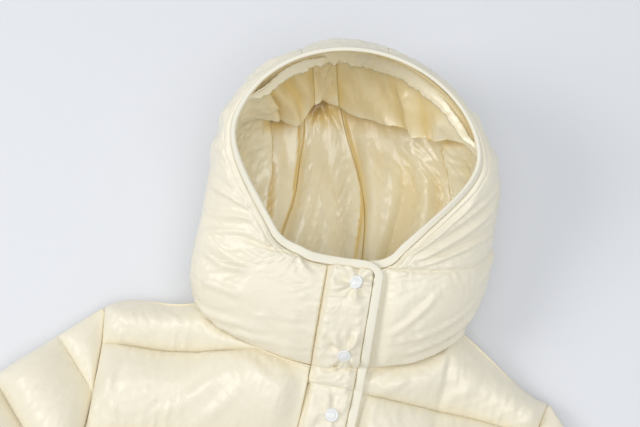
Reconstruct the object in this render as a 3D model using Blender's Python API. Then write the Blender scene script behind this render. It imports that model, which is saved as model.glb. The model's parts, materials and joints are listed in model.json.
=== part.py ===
"""A hooded down jacket, lying on its back on a flat surface with its front snapped shut.

Metres, +Z up from the surface, +Y from the hem towards the hood, +X towards the wearer's left.
The origin is on the surface, under the middle of the front neck seam. The body and sleeves lie
flat, one layer on the other. The collar and hood are a padded tube that holds itself open, and
they have settled with a small turn on the body.
"""

import math
from collections import namedtuple

import bmesh
import bpy
import numpy as np

MM = 0.001
GAP = 0.3 * MM  # between pieces that are sewn together
LAYER_GAP = 1.0 * MM  # between the back layer and the front layer
EDGE = 3.0 * MM  # thickness of a padded piece at its seams
ROUND = 36 * MM  # how far in from a seam the padding reaches its full height

# The body, flat
TIP = np.array((240, 20)) * MM  # shoulder end of the armhole
NECK_SIDE = 128 * MM  # half of the neck seam's width
HEM_Y = -550 * MM
LINE_1 = -18 * MM  # the topmost quilting line
PITCH = 95 * MM  # from one quilting line to the next
CHANNELS = 7  # quilted channels from hem to shoulder
SUBROWS = 3
BACK_LINE = 15 * MM  # height of the back layer at a quilting line
BACK_PUFF = 9 * MM
FRONT_LINE = 6 * MM  # thickness of the front layer at a quilting line
FRONT_PUFF = 20 * MM
SIDE_SEAM_Z = 15 * MM
HEM_BACK_Z = 8 * MM
HEM_FRONT_Z = 20 * MM

# The placket and snaps
SNAP_LINE = 22 * MM  # the snaps lie to the wearer's left of the middle
PLACKET_LEFT = SNAP_LINE - 31 * MM
PLACKET_RIGHT = SNAP_LINE + 16 * MM
UNDERLAP_END = PLACKET_LEFT + 3 * MM
UNDERLAP = 6 * MM
FRONT_EDGE = 10 * MM  # thickness of the right front where the placket is sewn to it
PLACKET_EDGE = 4 * MM
PLACKET_PUFF = 5 * MM
UNDER_PLACKET = 1.8 * MM  # the collar's thickness outside its seam surface, under the placket
SEAM_LOW = 4.5 * MM  # and where the placket is sewn on, at the collar's edges
SEAM_HIGH = 7.0 * MM  # and in its middle
FLAT_HALF = 27 * MM  # how far from the snaps the padding starts to rise
PUFF_RISE = 48 * MM  # and over what distance
SNAP_RADIUS = 7 * MM
SNAP_HEIGHT = 3 * MM
SNAP_BODY_FIRST = -45 * MM
SNAP_PITCH = 78 * MM
SNAP_BODY_COUNT = 7
SNAP_COLLAR = (0.84, 0.17)  # shares of the collar's height

# Binding, hem tape and cuffs
BINDING_WIDE = 10 * MM
BINDING_THICK = 7 * MM
CLIMB_FROM = 318  # angle at which the binding starts to climb onto the placket
CLIMB_OVER = 22
TAPE_WIDE = 14 * MM
TAPE_THICK = 3 * MM
CUFF_WIDE = 18 * MM
CUFF_TURNS = 4  # facets round each end of the flattened cuff
HEM_TURNS = 6
HEM_INSET = 3 * MM  # the tape bends this far inside the body's side

# The sleeves, by distance along the sleeve from the shoulder tip
SLEEVE_SLOPE = math.radians(45.6)
SLEEVE_LENGTH = 572 * MM
CUFF_HALF = 61 * MM
SLEEVE_LINE_1 = 57 * MM

# The collar and hood
WALL_OUT = 9 * MM  # padding outside the seam surface
WALL_IN = 9 * MM  # padding inside it
CORNER = 30  # degrees from the front where hood, collar and opening meet
STRIP_HALF = 42 * MM  # half of the hood's centre strip
LINING = 1.2 * MM
NECK_UPRIGHT = 0.26  # sine of the angle to which the neck seam's thickness stands upright
NECK_LEAN = 0.30  # and over how much more it comes to lean outwards

# How it has settled: the collar and hood are turned on the body, which lies a little to one side
HOOD_TURN = math.radians(12)
TURN_LOW = -70 * MM
TURN_HIGH = 150 * MM
TURN_REACH = (150 * MM, 240 * MM)  # distance from the middle where the turn fades out
HOOD_SHIFT = 34 * MM  # towards the wearer's left, reached at SHIFT_HIGH
SHIFT_HIGH = 220 * MM

# The tube of collar and hood, as rings from the neck seam (0) to the face opening (1), in mm
Ring = namedtuple("Ring", "share front_y front_z side_x side_y side_z back_y back_z")
TUBE = (
    Ring(0.00, 0, 62, 128, 63, 32, 80, 12),
    Ring(0.14, 14, 80, 142, 80, 46, 130, 10),
    Ring(0.30, 30, 95, 150, 104, 60, 200, 10),
    Ring(0.46, 46, 106, 150, 130, 74, 268, 14),
    Ring(0.60, 60, 113, 147, 155, 92, 316, 46),
    Ring(0.74, 70, 117, 143, 174, 112, 334, 100),
    Ring(0.87, 78, 119, 136, 185, 137, 318, 156),
    Ring(1.00, 84, 119, 126, 190, 158, 295, 201),
)
# Where the collar ends and the hood begins, by angle from the front
Join = namedtuple("Join", "angle share")
COLLAR_TOP = (
    Join(28, 0.93),
    Join(40, 0.79),
    Join(60, 0.60),
    Join(90, 0.45),
    Join(130, 0.31),
    Join(180, 0.22),
)
# The body's outline at the side, from hem to shoulder tip, in mm
Side = namedtuple("Side", "y x")
SIDE = (
    Side(-550, 288),
    Side(-400, 290),
    Side(-303, 287),
    Side(-240, 283),
    Side(-180, 246),
    Side(-110, 227),
    Side(-60, 229),
    Side(-18, 233),
    Side(20, 240),
)
ARMPIT_Y = LINE_1 - PITCH * 7 / 3

SIDE_ANGLES = (CORNER, 38, 50, 62, 75)
BACK_ANGLES = (105, 120, 135, 150)
BESIDE_PLACKET = SNAP_LINE + 27 * MM  # the left side's first column clear of the placket
MIDDLE_PLACKET = SNAP_LINE - 6 * MM
SHOULDER_COLUMNS = (165, 200)

SHELL = ("shell", (0.86, 0.80, 0.65), 0.35)
LINING_CLOTH = ("lining", (0.74, 0.60, 0.36), 0.30)
BINDING_TAPE = ("binding", (0.87, 0.83, 0.72), 0.70)
SNAP_PLASTIC = ("snap", (0.84, 0.86, 0.88), 0.25)


def material(finish):
    name, colour, roughness = finish
    found = bpy.data.materials.get(name)
    if found:
        return found
    made = bpy.data.materials.new(name)
    made.use_nodes = True
    shader = made.node_tree.nodes["Principled BSDF"]
    shader.inputs["Base Color"].default_value = (*colour, 1)
    shader.inputs["Roughness"].default_value = roughness
    shader.inputs["Metallic"].default_value = 0
    return made


def clamp(value, low=0.0, high=1.0):
    return max(low, min(high, value))


def blend(low, high, share):
    return low + (high - low) * share


def smooth(share):
    share = clamp(share)
    return share * share * (3 - 2 * share)


def read_table(rows, at):
    """The columns of a table after its first, at one place, on a smooth curve through its rows."""
    place = np.array([row[0] for row in rows], float)
    values = np.array([row[1:] for row in rows], float)
    slope = np.gradient(values, place, axis=0)
    at = clamp(at, place[0], place[-1])
    k = min(int(np.searchsorted(place, at, side="right")) - 1, len(place) - 2)
    step = place[k + 1] - place[k]
    t = (at - place[k]) / step
    start = (1 + 2 * t) * (1 - t) ** 2 * values[k] + t * (1 - t) ** 2 * step * slope[k]
    end = t * t * (3 - 2 * t) * values[k + 1] - t * t * (1 - t) * step * slope[k + 1]
    return start + end


# ---------------------------------------------------------------- meshes


def settle(point):
    """Where a point of the straight jacket lies once the collar and hood have turned on the body."""
    x, y, z = (float(c) for c in point)
    low, high = TURN_REACH
    near = 1 - smooth((abs(x) - low) / (high - low))
    turn = HOOD_TURN * near * smooth((y - TURN_LOW) / (TURN_HIGH - TURN_LOW))
    return (
        x * math.cos(turn) - y * math.sin(turn) + HOOD_SHIFT * near * smooth(y / SHIFT_HIGH),
        x * math.sin(turn) + y * math.cos(turn),
        z,
    )


def add_mesh(name, points, faces, finish):
    """A closed body from points and faces, with its faces turned outwards."""
    mesh = bpy.data.meshes.new(name)
    mesh.from_pydata([settle(p) for p in points], [], faces)
    form = bmesh.new()
    form.from_mesh(mesh)
    bmesh.ops.recalc_face_normals(form, faces=form.faces)
    if form.calc_volume(signed=True) < 0:
        bmesh.ops.reverse_faces(form, faces=form.faces)
    form.to_mesh(mesh)
    form.free()
    mesh.shade_smooth()
    mesh.set_sharp_from_angle(angle=math.radians(40))
    mesh.materials.append(material(finish))
    piece = bpy.data.objects.new(name, mesh)
    bpy.context.scene.collection.objects.link(piece)
    return piece


def wall(name, upper, lower, finish, turn_at=0):
    """A closed wall between two grids of points. Cells before column turn_at are split the other way."""
    upper = np.asarray(upper, float)
    lower = np.asarray(lower, float)
    rows, columns = upper.shape[:2]
    count = rows * columns
    faces = []
    for i in range(rows - 1):
        for j in range(columns - 1):
            a = i * columns + j
            b, c, d = a + 1, a + columns + 1, a + columns
            halves = ((a, b, d), (b, c, d)) if j < turn_at else ((a, b, c), (a, c, d))
            for half in halves:
                faces.append(half)
                faces.append(tuple(count + v for v in reversed(half)))
    rim = [j for j in range(columns)]
    rim += [i * columns + columns - 1 for i in range(1, rows)]
    rim += [(rows - 1) * columns + j for j in range(columns - 2, -1, -1)]
    rim += [i * columns for i in range(rows - 2, 0, -1)]
    for here, after in zip(rim, rim[1:] + rim[:1]):
        faces.append((here, count + here, count + after))
        faces.append((here, count + after, after))
    return add_mesh(name, np.concatenate((upper.reshape(-1, 3), lower.reshape(-1, 3))), faces, finish)


def sweep(name, sections, finish, closed=False):
    """A rod or ring through sections of the same number of points."""
    sections = np.asarray(sections, float)
    count, around = sections.shape[:2]
    faces = []
    for i in range(count if closed else count - 1):
        after = (i + 1) % count
        for k in range(around):
            a, b = i * around + k, i * around + (k + 1) % around
            c, d = after * around + (k + 1) % around, after * around + k
            faces.append((a, b, c))
            faces.append((a, c, d))
    if not closed:
        faces.append(tuple(range(around - 1, -1, -1)))
        faces.append(tuple((count - 1) * around + k for k in range(around)))
    return add_mesh(name, sections.reshape(-1, 3), faces, finish)


# ---------------------------------------------------------------- collar and hood


def tube_point(angle, share):
    """A point of the seam surface: angle from the front centre in degrees, share of the way up."""
    front_y, front_z, side_x, side_y, side_z, back_y, back_z = read_table(TUBE, share) * MM
    c, s = math.cos(math.radians(angle)), math.sin(math.radians(angle))
    middle_y, middle_z = (front_y + back_y) / 2, (front_z + back_z) / 2
    y = middle_y + (front_y - back_y) / 2 * c + (side_y - middle_y) * s * s
    z = middle_z + (front_z - back_z) / 2 * c + (side_z - middle_z) * s * s
    return np.array((side_x * s, y, z))


def tube_frame(angle, share):
    """Point, outward direction and direction up the tube."""
    step = 0.01
    low, high = max(0.0, share - step), min(1.0, share + step)
    up = tube_point(angle, high) - tube_point(angle, low)
    around = tube_point(angle + 2, share) - tube_point(angle - 2, share)
    out = np.cross(around, up)
    out /= np.linalg.norm(out)
    return tube_point(angle, share), out, up / np.linalg.norm(up)


def tube_angle(x, share, back=False):
    """The angle whose point lies x to the side of the middle, at the front or at the back."""
    side_x = read_table(TUBE, share)[2] * MM
    angle = math.degrees(math.asin(clamp(x / side_x, -1, 1)))
    return 180 - angle if back else angle


def join_share(angle):
    """How far up the tube the collar reaches at an angle."""
    turned = abs((angle + 180) % 360 - 180)
    if turned < CORNER - 2:
        return 1.0
    return float(read_table(COLLAR_TOP, turned)[0])


def set_off(angle, share, distance):
    """A point moved outwards (or inwards, if negative), never below the surface."""
    point, out, _ = tube_frame(angle, share)
    moved = point + out * distance
    moved[2] = max(moved[2], 0.0)
    return moved


def puff(share):
    """Height of padding across a panel, 0 at its seams and 1 in its middle."""
    return max(0.0, 4 * share * (1 - share)) ** 0.5


def trim(angle, share, towards):
    """The share that lies half a seam gap further up (1) or down (-1) the tube."""
    step = 0.01
    span = tube_point(angle, min(1, share + step)) - tube_point(angle, max(0, share - step))
    return share + towards * GAP * step / np.linalg.norm(span)


# A column of points up the tube keeps one angle (place), or one distance to the side of the
# middle of its front or back (place in metres).
Column = namedtuple("Column", "kind place")
SIDE_COLUMNS = [Column("angle", a) for a in (*SIDE_ANGLES, 90, *BACK_ANGLES)]
SIDE_COLUMNS_RIGHT = [Column("angle", 360 - a) for a in (*SIDE_ANGLES, 90, *BACK_ANGLES)]
STRIP_COLUMNS = [Column("back", x) for x in (STRIP_HALF, 0.0, -STRIP_HALF)]


def front_columns(places):
    return [Column("front", x) for x in places]


def column_angle(column, share):
    if column.kind == "angle":
        return column.place
    return tube_angle(column.place, share, back=column.kind == "back")


def collar_columns():
    """From the collar's left front end, under the placket, round the back to the placket's seam."""
    left = front_columns((UNDERLAP_END, MIDDLE_PLACKET, PLACKET_RIGHT, BESIDE_PLACKET)) + SIDE_COLUMNS
    return left + STRIP_COLUMNS + SIDE_COLUMNS_RIGHT[::-1] + front_columns((PLACKET_LEFT - GAP,))


def near_placket(x):
    """0 under the placket, rising to 1 where the padding is full."""
    return smooth((abs(x - SNAP_LINE) - FLAT_HALF) / PUFF_RISE)


def column_top(column):
    """How far up the tube the collar reaches in a column."""
    return join_share(column_angle(column, COLLAR_TOP[-1].share))


COLLAR_ROWS = (0.0, 0.2, 0.5, 0.8, 1.0)


def collar_out(angle, share, height):
    """How far the collar's outer face stands off the seam surface."""
    at_front = math.cos(math.radians(angle)) > 0
    x = tube_point(angle, share)[0]
    if at_front and abs(x - PLACKET_LEFT) < 1 * MM:
        return blend(SEAM_LOW, SEAM_HIGH, puff(height))
    full = EDGE / 2 + (WALL_OUT - EDGE / 2) * puff(height)
    return blend(UNDER_PLACKET, full, near_placket(x)) if at_front else full


def collar_in(angle, share, height):
    return -(EDGE / 2 + (WALL_IN - EDGE / 2) * puff(height))


def placket_base(angle, share, height):
    return UNDER_PLACKET + GAP


def placket_top(angle, share, height):
    inside = PLACKET_LEFT + 1 * MM < tube_point(angle, share)[0] < PLACKET_RIGHT - 1 * MM
    return UNDER_PLACKET + GAP + PLACKET_EDGE + (PLACKET_PUFF * puff(height) if inside else 0)


def neck_offset(angle, distance):
    """At the neck seam a piece's thickness lies in the plane of the seam."""
    point = tube_point(angle, 0)
    across, along = math.sin(math.radians(angle)), math.cos(math.radians(angle))
    lean = smooth((abs(across) - NECK_UPRIGHT) / NECK_LEAN)
    return point + np.array((across * lean, 0, along)) * distance


def collar_grid(columns, face):
    """One face of the collar. face(angle, share, height) is its distance from the seam surface."""
    grid = []
    for height in COLLAR_ROWS:
        row = []
        for column in columns:
            share = height * column_top(column)
            angle = column_angle(column, share)
            if height == 1.0:
                share = trim(angle, share, -1)
            if height == 0.0:
                point = neck_offset(angle, face(angle, 0.0, 0.0)) + np.array((0, GAP, 0))
                point[2] = max(point[2], 0.0)
            else:
                point = set_off(angle, share, face(angle, share, height))
            row.append(point)
        grid.append(row)
    return grid


def make_collar():
    columns = collar_columns()
    wall("collar", collar_grid(columns, collar_out), collar_grid(columns, collar_in), SHELL)


PLACKET_COLUMNS = (PLACKET_LEFT, UNDERLAP_END, MIDDLE_PLACKET, PLACKET_RIGHT)


def make_collar_placket():
    columns = front_columns(PLACKET_COLUMNS)
    wall("placket_collar", collar_grid(columns, placket_top), collar_grid(columns, placket_base), SHELL)


HOOD_ROWS = (0.0, 0.1, 0.25, 0.4, 0.55, 0.7, 0.86, 1.0)
LINING_ROWS = HOOD_ROWS[:-1]  # the facing takes over from the lining
FACING_ROWS = (LINING_ROWS[-1] + 0.005, 0.93, 0.985)
FACING_FROM = 3  # the first side column the facing reaches
SIDE_FULLNESS = (0.0, 0.5, 1.0, 1.0, 1.0, 1.0, 1.0, 1.0, 1.0, 0.8, 0.0)
STRIP_FULLNESS = (0.0, 1.0, 0.0)


def hood_grid(columns, rows, face, fullness):
    """One face of a hood panel, from the collar towards the opening. fullness is 0 at its side seams."""
    grid = []
    for span in rows:
        row = []
        for column, full in zip(columns, fullness):
            bottom = column_top(column)
            bottom = trim(column_angle(column, bottom), bottom, 1)
            share = blend(bottom, 1.0, span)
            row.append(set_off(column_angle(column, share), share, face(span, full)))
        grid.append(row)
    return grid


def hood_out(span, across):
    return EDGE / 2 + (WALL_OUT - EDGE / 2) * puff(span) * across**0.5


def hood_in(span, across):
    return -(EDGE / 2 + (WALL_IN - EDGE / 2) * puff(span) * across**0.5)


def lining_out(span, across):
    return hood_in(span, across) - GAP


def lining_in(span, across):
    return lining_out(span, across) - LINING


def facing_out(span, across):
    return hood_in(span, across) - 4 * GAP


def facing_in(span, across):
    return facing_out(span, across) - 2 * LINING


def make_hood():
    seam_left, seam_right = Column("back", STRIP_HALF + GAP), Column("back", -STRIP_HALF - GAP)
    panels = (
        ("side_left", "lining_left", SIDE_COLUMNS + [seam_left], SIDE_FULLNESS),
        ("side_right", "lining_right", SIDE_COLUMNS_RIGHT + [seam_right], SIDE_FULLNESS),
        ("centre", "lining_centre", STRIP_COLUMNS, STRIP_FULLNESS),
    )
    for shell, lining, columns, fullness in panels:
        faces = [hood_grid(columns, HOOD_ROWS, face, fullness) for face in (hood_out, hood_in)]
        wall(f"hood_{shell}", *faces, SHELL)
        faces = [hood_grid(columns, LINING_ROWS, face, fullness) for face in (lining_out, lining_in)]
        wall(f"hood_{lining}", *faces, LINING_CLOTH)


def make_facing():
    """The strip inside the opening that carries the drawn elastic."""
    columns = SIDE_COLUMNS[FACING_FROM:] + STRIP_COLUMNS + SIDE_COLUMNS_RIGHT[:FACING_FROM - 1:-1]
    fullness = [1.0] * len(columns)
    faces = [hood_grid(columns, FACING_ROWS, face, fullness) for face in (facing_out, facing_in)]
    wall("hood_facing", *faces, LINING_CLOTH)


# ---------------------------------------------------------------- body


def side_x(y):
    return float(read_table(SIDE, y / MM)[0]) * MM


def quilt_rows():
    """Heights up the body of every row below the topmost quilting line, from the hem."""
    lines = [HEM_Y] + [LINE_1 - PITCH * k for k in range(CHANNELS - 2, -1, -1)]
    rows = []
    for low, high in zip(lines, lines[1:]):
        rows += [blend(low, high, k / SUBROWS) for k in range(SUBROWS)]
    return rows + [LINE_1]


def body_x(column, y):
    """A column keeps its distance from the middle near the front and follows the outline at the side."""
    share = abs(column) / TIP[0]
    return column + math.copysign(1, column) * share**2 * (side_x(y) - TIP[0])


def top_y(column, back):
    """The top edge: the neck seam in the middle, then the shoulder seam."""
    x = abs(column)
    if x <= NECK_SIDE + 1e-6:
        angle = math.degrees(math.asin(clamp(x / NECK_SIDE)))
        return tube_point(180 - angle if back else angle, 0)[1]
    share = (x - NECK_SIDE) / (TIP[0] - NECK_SIDE)
    return blend(tube_point(90, 0)[1], TIP[1], share)


def top_z(column, back):
    x = abs(column)
    if x <= NECK_SIDE + 1e-6:
        angle = math.degrees(math.asin(clamp(x / NECK_SIDE)))
        return tube_point(180 - angle if back else angle, 0)[2]
    share = (x - NECK_SIDE) / (TIP[0] - NECK_SIDE)
    return blend(tube_point(90, 0)[2], SIDE_SEAM_Z, smooth(share))


def body_rows(column, back):
    """Heights of all rows in one column, from hem to neck or shoulder."""
    top = top_y(column, back)
    return quilt_rows() + [blend(LINE_1, top, k / SUBROWS) for k in range(1, SUBROWS + 1)]


def quilt(column, y, back):
    """0 on a quilting line and 1 between two lines."""
    if y > LINE_1 - 1e-9:
        share = (y - LINE_1) / (top_y(column, back) - LINE_1)
    elif y < LINE_1 - PITCH * (CHANNELS - 2):
        share = (y - HEM_Y) / (LINE_1 - PITCH * (CHANNELS - 2) - HEM_Y)
    else:
        share = ((LINE_1 - y) / PITCH) % 1.0
    return max(0.0, math.sin(math.pi * clamp(share))) ** 0.7


def round_edge(distance):
    near = clamp(distance / ROUND)
    return math.sqrt(max(0.0, 1 - (1 - near) ** 2))


def edge_rise(column, y, back):
    """How full the padding is, from 0 at the outline to 1."""
    x = abs(body_x(column, y))
    to_side = side_x(y) - x
    to_top = top_y(column, back) - y
    return round_edge(min(to_side, to_top, y - HEM_Y))


def edge_height(column, y, back):
    """Height of the seam line nearest to a point."""
    hem_share = smooth((y - HEM_Y) / PITCH)
    side = SIDE_SEAM_Z + (0 if back else EDGE + GAP)
    low = blend(HEM_BACK_Z if back else HEM_FRONT_Z, side, hem_share)
    rise = smooth((y - (LINE_1 - PITCH)) / (top_y(column, back) - (LINE_1 - PITCH)))
    top = top_z(column, back) + (0 if back or abs(column) < NECK_SIDE - 1 * MM else EDGE + GAP)
    return blend(low, top, rise)


def back_faces(column, y):
    rise = edge_rise(column, y, True)
    seam = edge_height(column, y, True)
    low = blend(seam - EDGE / 2, 0.0, rise)
    high = blend(seam + EDGE / 2, BACK_LINE + BACK_PUFF * quilt(column, y, True), rise)
    return max(0.0, low), high


def front_lift(column, y):
    """The front rises to the standing collar."""
    share = (y - (LINE_1 - PITCH)) / (top_y(column, False) - (LINE_1 - PITCH))
    return max(0.0, top_z(column, False) - 27 * MM) * smooth(share)


def front_thickness(column, y, right):
    x = abs(column)
    channel = PITCH if y < LINE_1 else top_y(column, False) - LINE_1
    full = FRONT_LINE + min(FRONT_PUFF, 0.28 * channel) * quilt(column, y, False)
    return blend(FRONT_EDGE if right else UNDERLAP, full, near_placket(x))


def front_faces(column, y, right):
    rise = edge_rise(column, y, False)
    seam = edge_height(column, y, False)
    _, below = back_faces(column, min(y, top_y(column, True)))
    plain = BACK_LINE + BACK_PUFF * quilt(column, y, False)
    inner = (below if rise > 0.999 else plain) + LAYER_GAP + front_lift(column, y)
    low = blend(seam - EDGE / 2, inner, rise)
    high = blend(seam + EDGE / 2, inner + front_thickness(column, y, right), rise)
    return low, high


def placket_base_z(column, y):
    return front_faces(column, y, False)[1] + GAP


def neck_corner(row_lift, back):
    """The neck seam's end at the shoulder, where front and back layer meet."""
    point = tube_point(90, 0) - np.array((0, 4 * MM, 4 * MM))
    return point + np.array((0, 0, row_lift))


def body_panel(name, columns, faces, back, turn_at=0):
    """A padded body panel: faces(column, y) gives its lower and upper height."""
    lower, upper = [], []
    count = len(quilt_rows()) + SUBROWS
    for i in range(count):
        low_row, high_row = [], []
        for column in columns:
            y = body_rows(column, back)[i]
            x = body_x(column, y)
            low, high = faces(column, y)
            low_point, high_point = np.array((x, y, low)), np.array((x, y, high))
            if i == count - 1:
                low_point, high_point = neck_edge(column, back, low_point, high_point)
            low_row.append(low_point)
            high_row.append(high_point)
        lower.append(low_row)
        upper.append(high_row)
    wall(name, upper, lower, SHELL, turn_at)


def neck_edge(column, back, low_point, high_point):
    """The last row of a panel: on the neck seam its thickness lies in the plane of the seam."""
    x = abs(column)
    if x < NECK_SIDE - 1 * MM:
        angle = math.degrees(math.asin(x / NECK_SIDE))
        angle = (180 - angle if back else angle) * math.copysign(1, column)
        half = EDGE / 2
        low, high = (half, -half) if back else (-half, half)
        low_point, high_point = neck_offset(angle, low), neck_offset(angle, high)
        low_point[2] = max(low_point[2], 0.0)
    elif x < NECK_SIDE + 1 * MM:
        sign = math.copysign(1, column)
        shift = GAP / 2 if not back else -GAP / 2 - EDGE
        for point, lift in ((low_point, shift), (high_point, shift + EDGE)):
            corner = neck_corner(lift, back)
            point[:] = (sign * corner[0], corner[1], corner[2])
    return low_point, high_point


def side_columns():
    neck = [NECK_SIDE * math.sin(math.radians(a)) for a in SIDE_ANGLES]
    return neck + [NECK_SIDE] + [x * MM for x in SHOULDER_COLUMNS] + [float(TIP[0])]


def make_body():
    left = [UNDERLAP_END, MIDDLE_PLACKET, PLACKET_RIGHT, BESIDE_PLACKET] + side_columns()
    body_panel("front_left", left, lambda c, y: front_faces(c, y, False), False)
    right = [PLACKET_LEFT - GAP] + [-x for x in side_columns()]
    body_panel("front_right", right, lambda c, y: front_faces(c, y, True), False)
    neck = [STRIP_HALF] + [NECK_SIDE * math.sin(math.radians(a)) for a in reversed(BACK_ANGLES)]
    half = neck + [NECK_SIDE] + [x * MM for x in SHOULDER_COLUMNS] + [float(TIP[0])]
    columns = [-x for x in reversed(half)] + [0.0] + half
    body_panel("back", columns, back_faces, True, turn_at=len(half))


def placket_faces():
    """Lower and upper face of the body's placket, one row of points for each row of the body."""
    lower, upper = [], []
    count = len(quilt_rows()) + SUBROWS
    for i in range(count):
        low_row, high_row = [], []
        for x in PLACKET_COLUMNS:
            y = body_rows(x, False)[i]
            base = placket_base_z(x, y)
            inside = PLACKET_LEFT < x < PLACKET_RIGHT
            top = base + PLACKET_EDGE + (PLACKET_PUFF * quilt(x, y, False) if inside else 0)
            low_point, high_point = np.array((x, y, base)), np.array((x, y, top))
            if i == count - 1:
                angle, rise = tube_angle(x, 0), UNDER_PLACKET + GAP
                low_point, high_point = neck_offset(angle, rise), neck_offset(angle, rise + PLACKET_EDGE)
            low_row.append(low_point)
            high_row.append(high_point)
        lower.append(low_row)
        upper.append(high_row)
    return lower, upper


def facet_height(face, x, y):
    """Height of a faceted face at one place, between its rows and columns."""
    i = next(k for k in range(len(face) - 1) if y <= face[k + 1][0][1])
    j = next(k for k in range(len(face[i]) - 1) if x <= face[i][k + 1][0])
    a, b, c, d = face[i][j], face[i][j + 1], face[i + 1][j + 1], face[i + 1][j]
    across, along = (x - a[0]) / (b[0] - a[0]), (y - a[1]) / (d[1] - a[1])
    if across > along:
        return a[2] + across * (b[2] - a[2]) + along * (c[2] - b[2])
    return a[2] + along * (d[2] - a[2]) + across * (c[2] - d[2])


def make_body_placket():
    lower, upper = placket_faces()
    wall("placket_body", upper, lower, SHELL)


# ---------------------------------------------------------------- sleeves


def sleeve_frame(side):
    along = np.array((side * math.cos(SLEEVE_SLOPE), -math.sin(SLEEVE_SLOPE)))
    across = np.array((-side * math.sin(SLEEVE_SLOPE), -math.cos(SLEEVE_SLOPE)))
    return along, across


def outline_x(y):
    """The body's faceted outline at the side, which the sleeve's seam follows."""
    rows = body_rows(float(TIP[0]), False)
    return float(np.interp(y, rows, [side_x(row) for row in rows]))


def armpit_place():
    along, across = sleeve_frame(1)
    reach = np.array((outline_x(ARMPIT_Y), ARMPIT_Y)) - TIP
    return float(reach @ along), float(reach @ across)


def sleeve_width(distance):
    """Width across the sleeve: to the armhole near the shoulder, then to the under seam."""
    along, across = sleeve_frame(1)
    pit_along, pit_across = armpit_place()
    if distance >= pit_along:
        share = (distance - pit_along) / (SLEEVE_LENGTH - pit_along)
        return blend(pit_across, 2 * CUFF_HALF, share)
    low, high = 0.0, pit_across
    for _ in range(30):
        middle = (low + high) / 2
        x, y = TIP + along * distance + across * middle
        if x > outline_x(y) and y > ARMPIT_Y:
            low = middle
        else:
            high = middle
    return low


def sleeve_rows():
    pitch = (armpit_place()[0] - SLEEVE_LINE_1) / 2
    lines = [3 * MM, SLEEVE_LINE_1]
    while lines[-1] + 1.4 * pitch < SLEEVE_LENGTH:
        lines.append(lines[-1] + pitch)
    lines.append(SLEEVE_LENGTH)
    rows = []
    for low, high in zip(lines, lines[1:]):
        rows += [(blend(low, high, k / SUBROWS), math.sin(math.pi * k / SUBROWS) ** 0.7) for k in range(SUBROWS)]
    return rows + [(SLEEVE_LENGTH, 0.0)]


SLEEVE_COLUMNS = (0.0, 0.14, 0.5, 0.86, 1.0)


def make_sleeves():
    pit_along, _ = armpit_place()
    for side, name in ((-1, "right"), (1, "left")):
        along, across = sleeve_frame(side)
        tip = TIP * (side, 1)
        faces = {"under_low": [], "under_high": [], "top_low": [], "top_high": []}
        for distance, full in sleeve_rows():
            width = sleeve_width(distance)
            rows = {key: [] for key in faces}
            for share in SLEEVE_COLUMNS:
                start = GAP if distance < pit_along + GAP else 0.0
                reach = share * (width - 1.5 * start)
                x, y = tip + along * (distance + start) + across * reach
                near = min(reach, width - reach, (SLEEVE_LENGTH - distance) + 1e-9)
                rise = round_edge(near)
                cuff = smooth((distance - (SLEEVE_LENGTH - PITCH)) / PITCH)
                low_seam = blend(SIDE_SEAM_Z, HEM_BACK_Z, cuff)
                high_seam = blend(SIDE_SEAM_Z + EDGE + GAP, HEM_FRONT_Z, cuff)
                slim = min(1.0, width / (120 * MM))
                middle = BACK_LINE + BACK_PUFF * full * slim
                rows["under_low"].append((x, y, max(0.0, blend(low_seam - EDGE / 2, 0.0, rise))))
                rows["under_high"].append((x, y, blend(low_seam + EDGE / 2, middle, rise)))
                base = middle + LAYER_GAP
                top = base + FRONT_LINE + (FRONT_PUFF * full) * slim
                rows["top_low"].append((x, y, blend(high_seam - EDGE / 2, base, rise)))
                rows["top_high"].append((x, y, blend(high_seam + EDGE / 2, top, rise)))
            for key, row in rows.items():
                faces[key].append(row)
        wall(f"sleeve_under_{name}", faces["under_high"], faces["under_low"], SHELL)
        wall(f"sleeve_top_{name}", faces["top_high"], faces["top_low"], SHELL)


def band_ends(half_width, turns):
    """Round the two ends of a flattened band: middle of the bend, and the direction outwards."""
    ends = []
    for side in (1, -1):
        for k in range(turns + 1):
            turn = math.pi * (side / 2 - k / turns)
            ends.append((side * half_width, math.cos(turn), math.sin(turn)))
    return ends


def make_cuffs():
    middle, radius = (HEM_BACK_Z + HEM_FRONT_Z) / 2, (HEM_FRONT_Z - HEM_BACK_Z) / 2
    corners = ((GAP, 0.5), (CUFF_WIDE, 0.5), (CUFF_WIDE, -0.5), (GAP, -0.5))
    for side, name in ((-1, "right"), (1, "left")):
        along, across = sleeve_frame(side)
        end = TIP * (side, 1) + along * SLEEVE_LENGTH + across * CUFF_HALF
        sections = []
        for flat, out_w, out_z in band_ends(CUFF_HALF, CUFF_TURNS):
            section = []
            for distance, share in corners:
                reach = radius + share * TAPE_THICK
                x, y = end + along * distance + across * (flat + out_w * reach)
                section.append((x, y, middle + out_z * reach))
            sections.append(section)
        sweep(f"cuff_{name}", sections, SHELL, closed=True)


def make_hem():
    """The hem tape: from the left front's end round the back layer to the placket's edge."""
    half = side_x(HEM_Y) - HEM_INSET
    middle, radius = (HEM_BACK_Z + HEM_FRONT_Z) / 2, (HEM_FRONT_Z - HEM_BACK_Z) / 2
    path = [(UNDERLAP_END, 0.0, 1.0)] + band_ends(half, HEM_TURNS) + [(PLACKET_LEFT - GAP, 0.0, 1.0)]
    sections = []
    for x, out_x, out_z in path:
        section = []
        for y, share in ((GAP, 0.5), (TAPE_WIDE, 0.5), (TAPE_WIDE, -0.5), (GAP, -0.5)):
            reach = radius + share * TAPE_THICK
            section.append((x + out_x * reach, HEM_Y - y, middle + out_z * reach))
        sections.append(section)
    sweep("hem_tape", sections, SHELL)


# ---------------------------------------------------------------- binding and snaps


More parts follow.
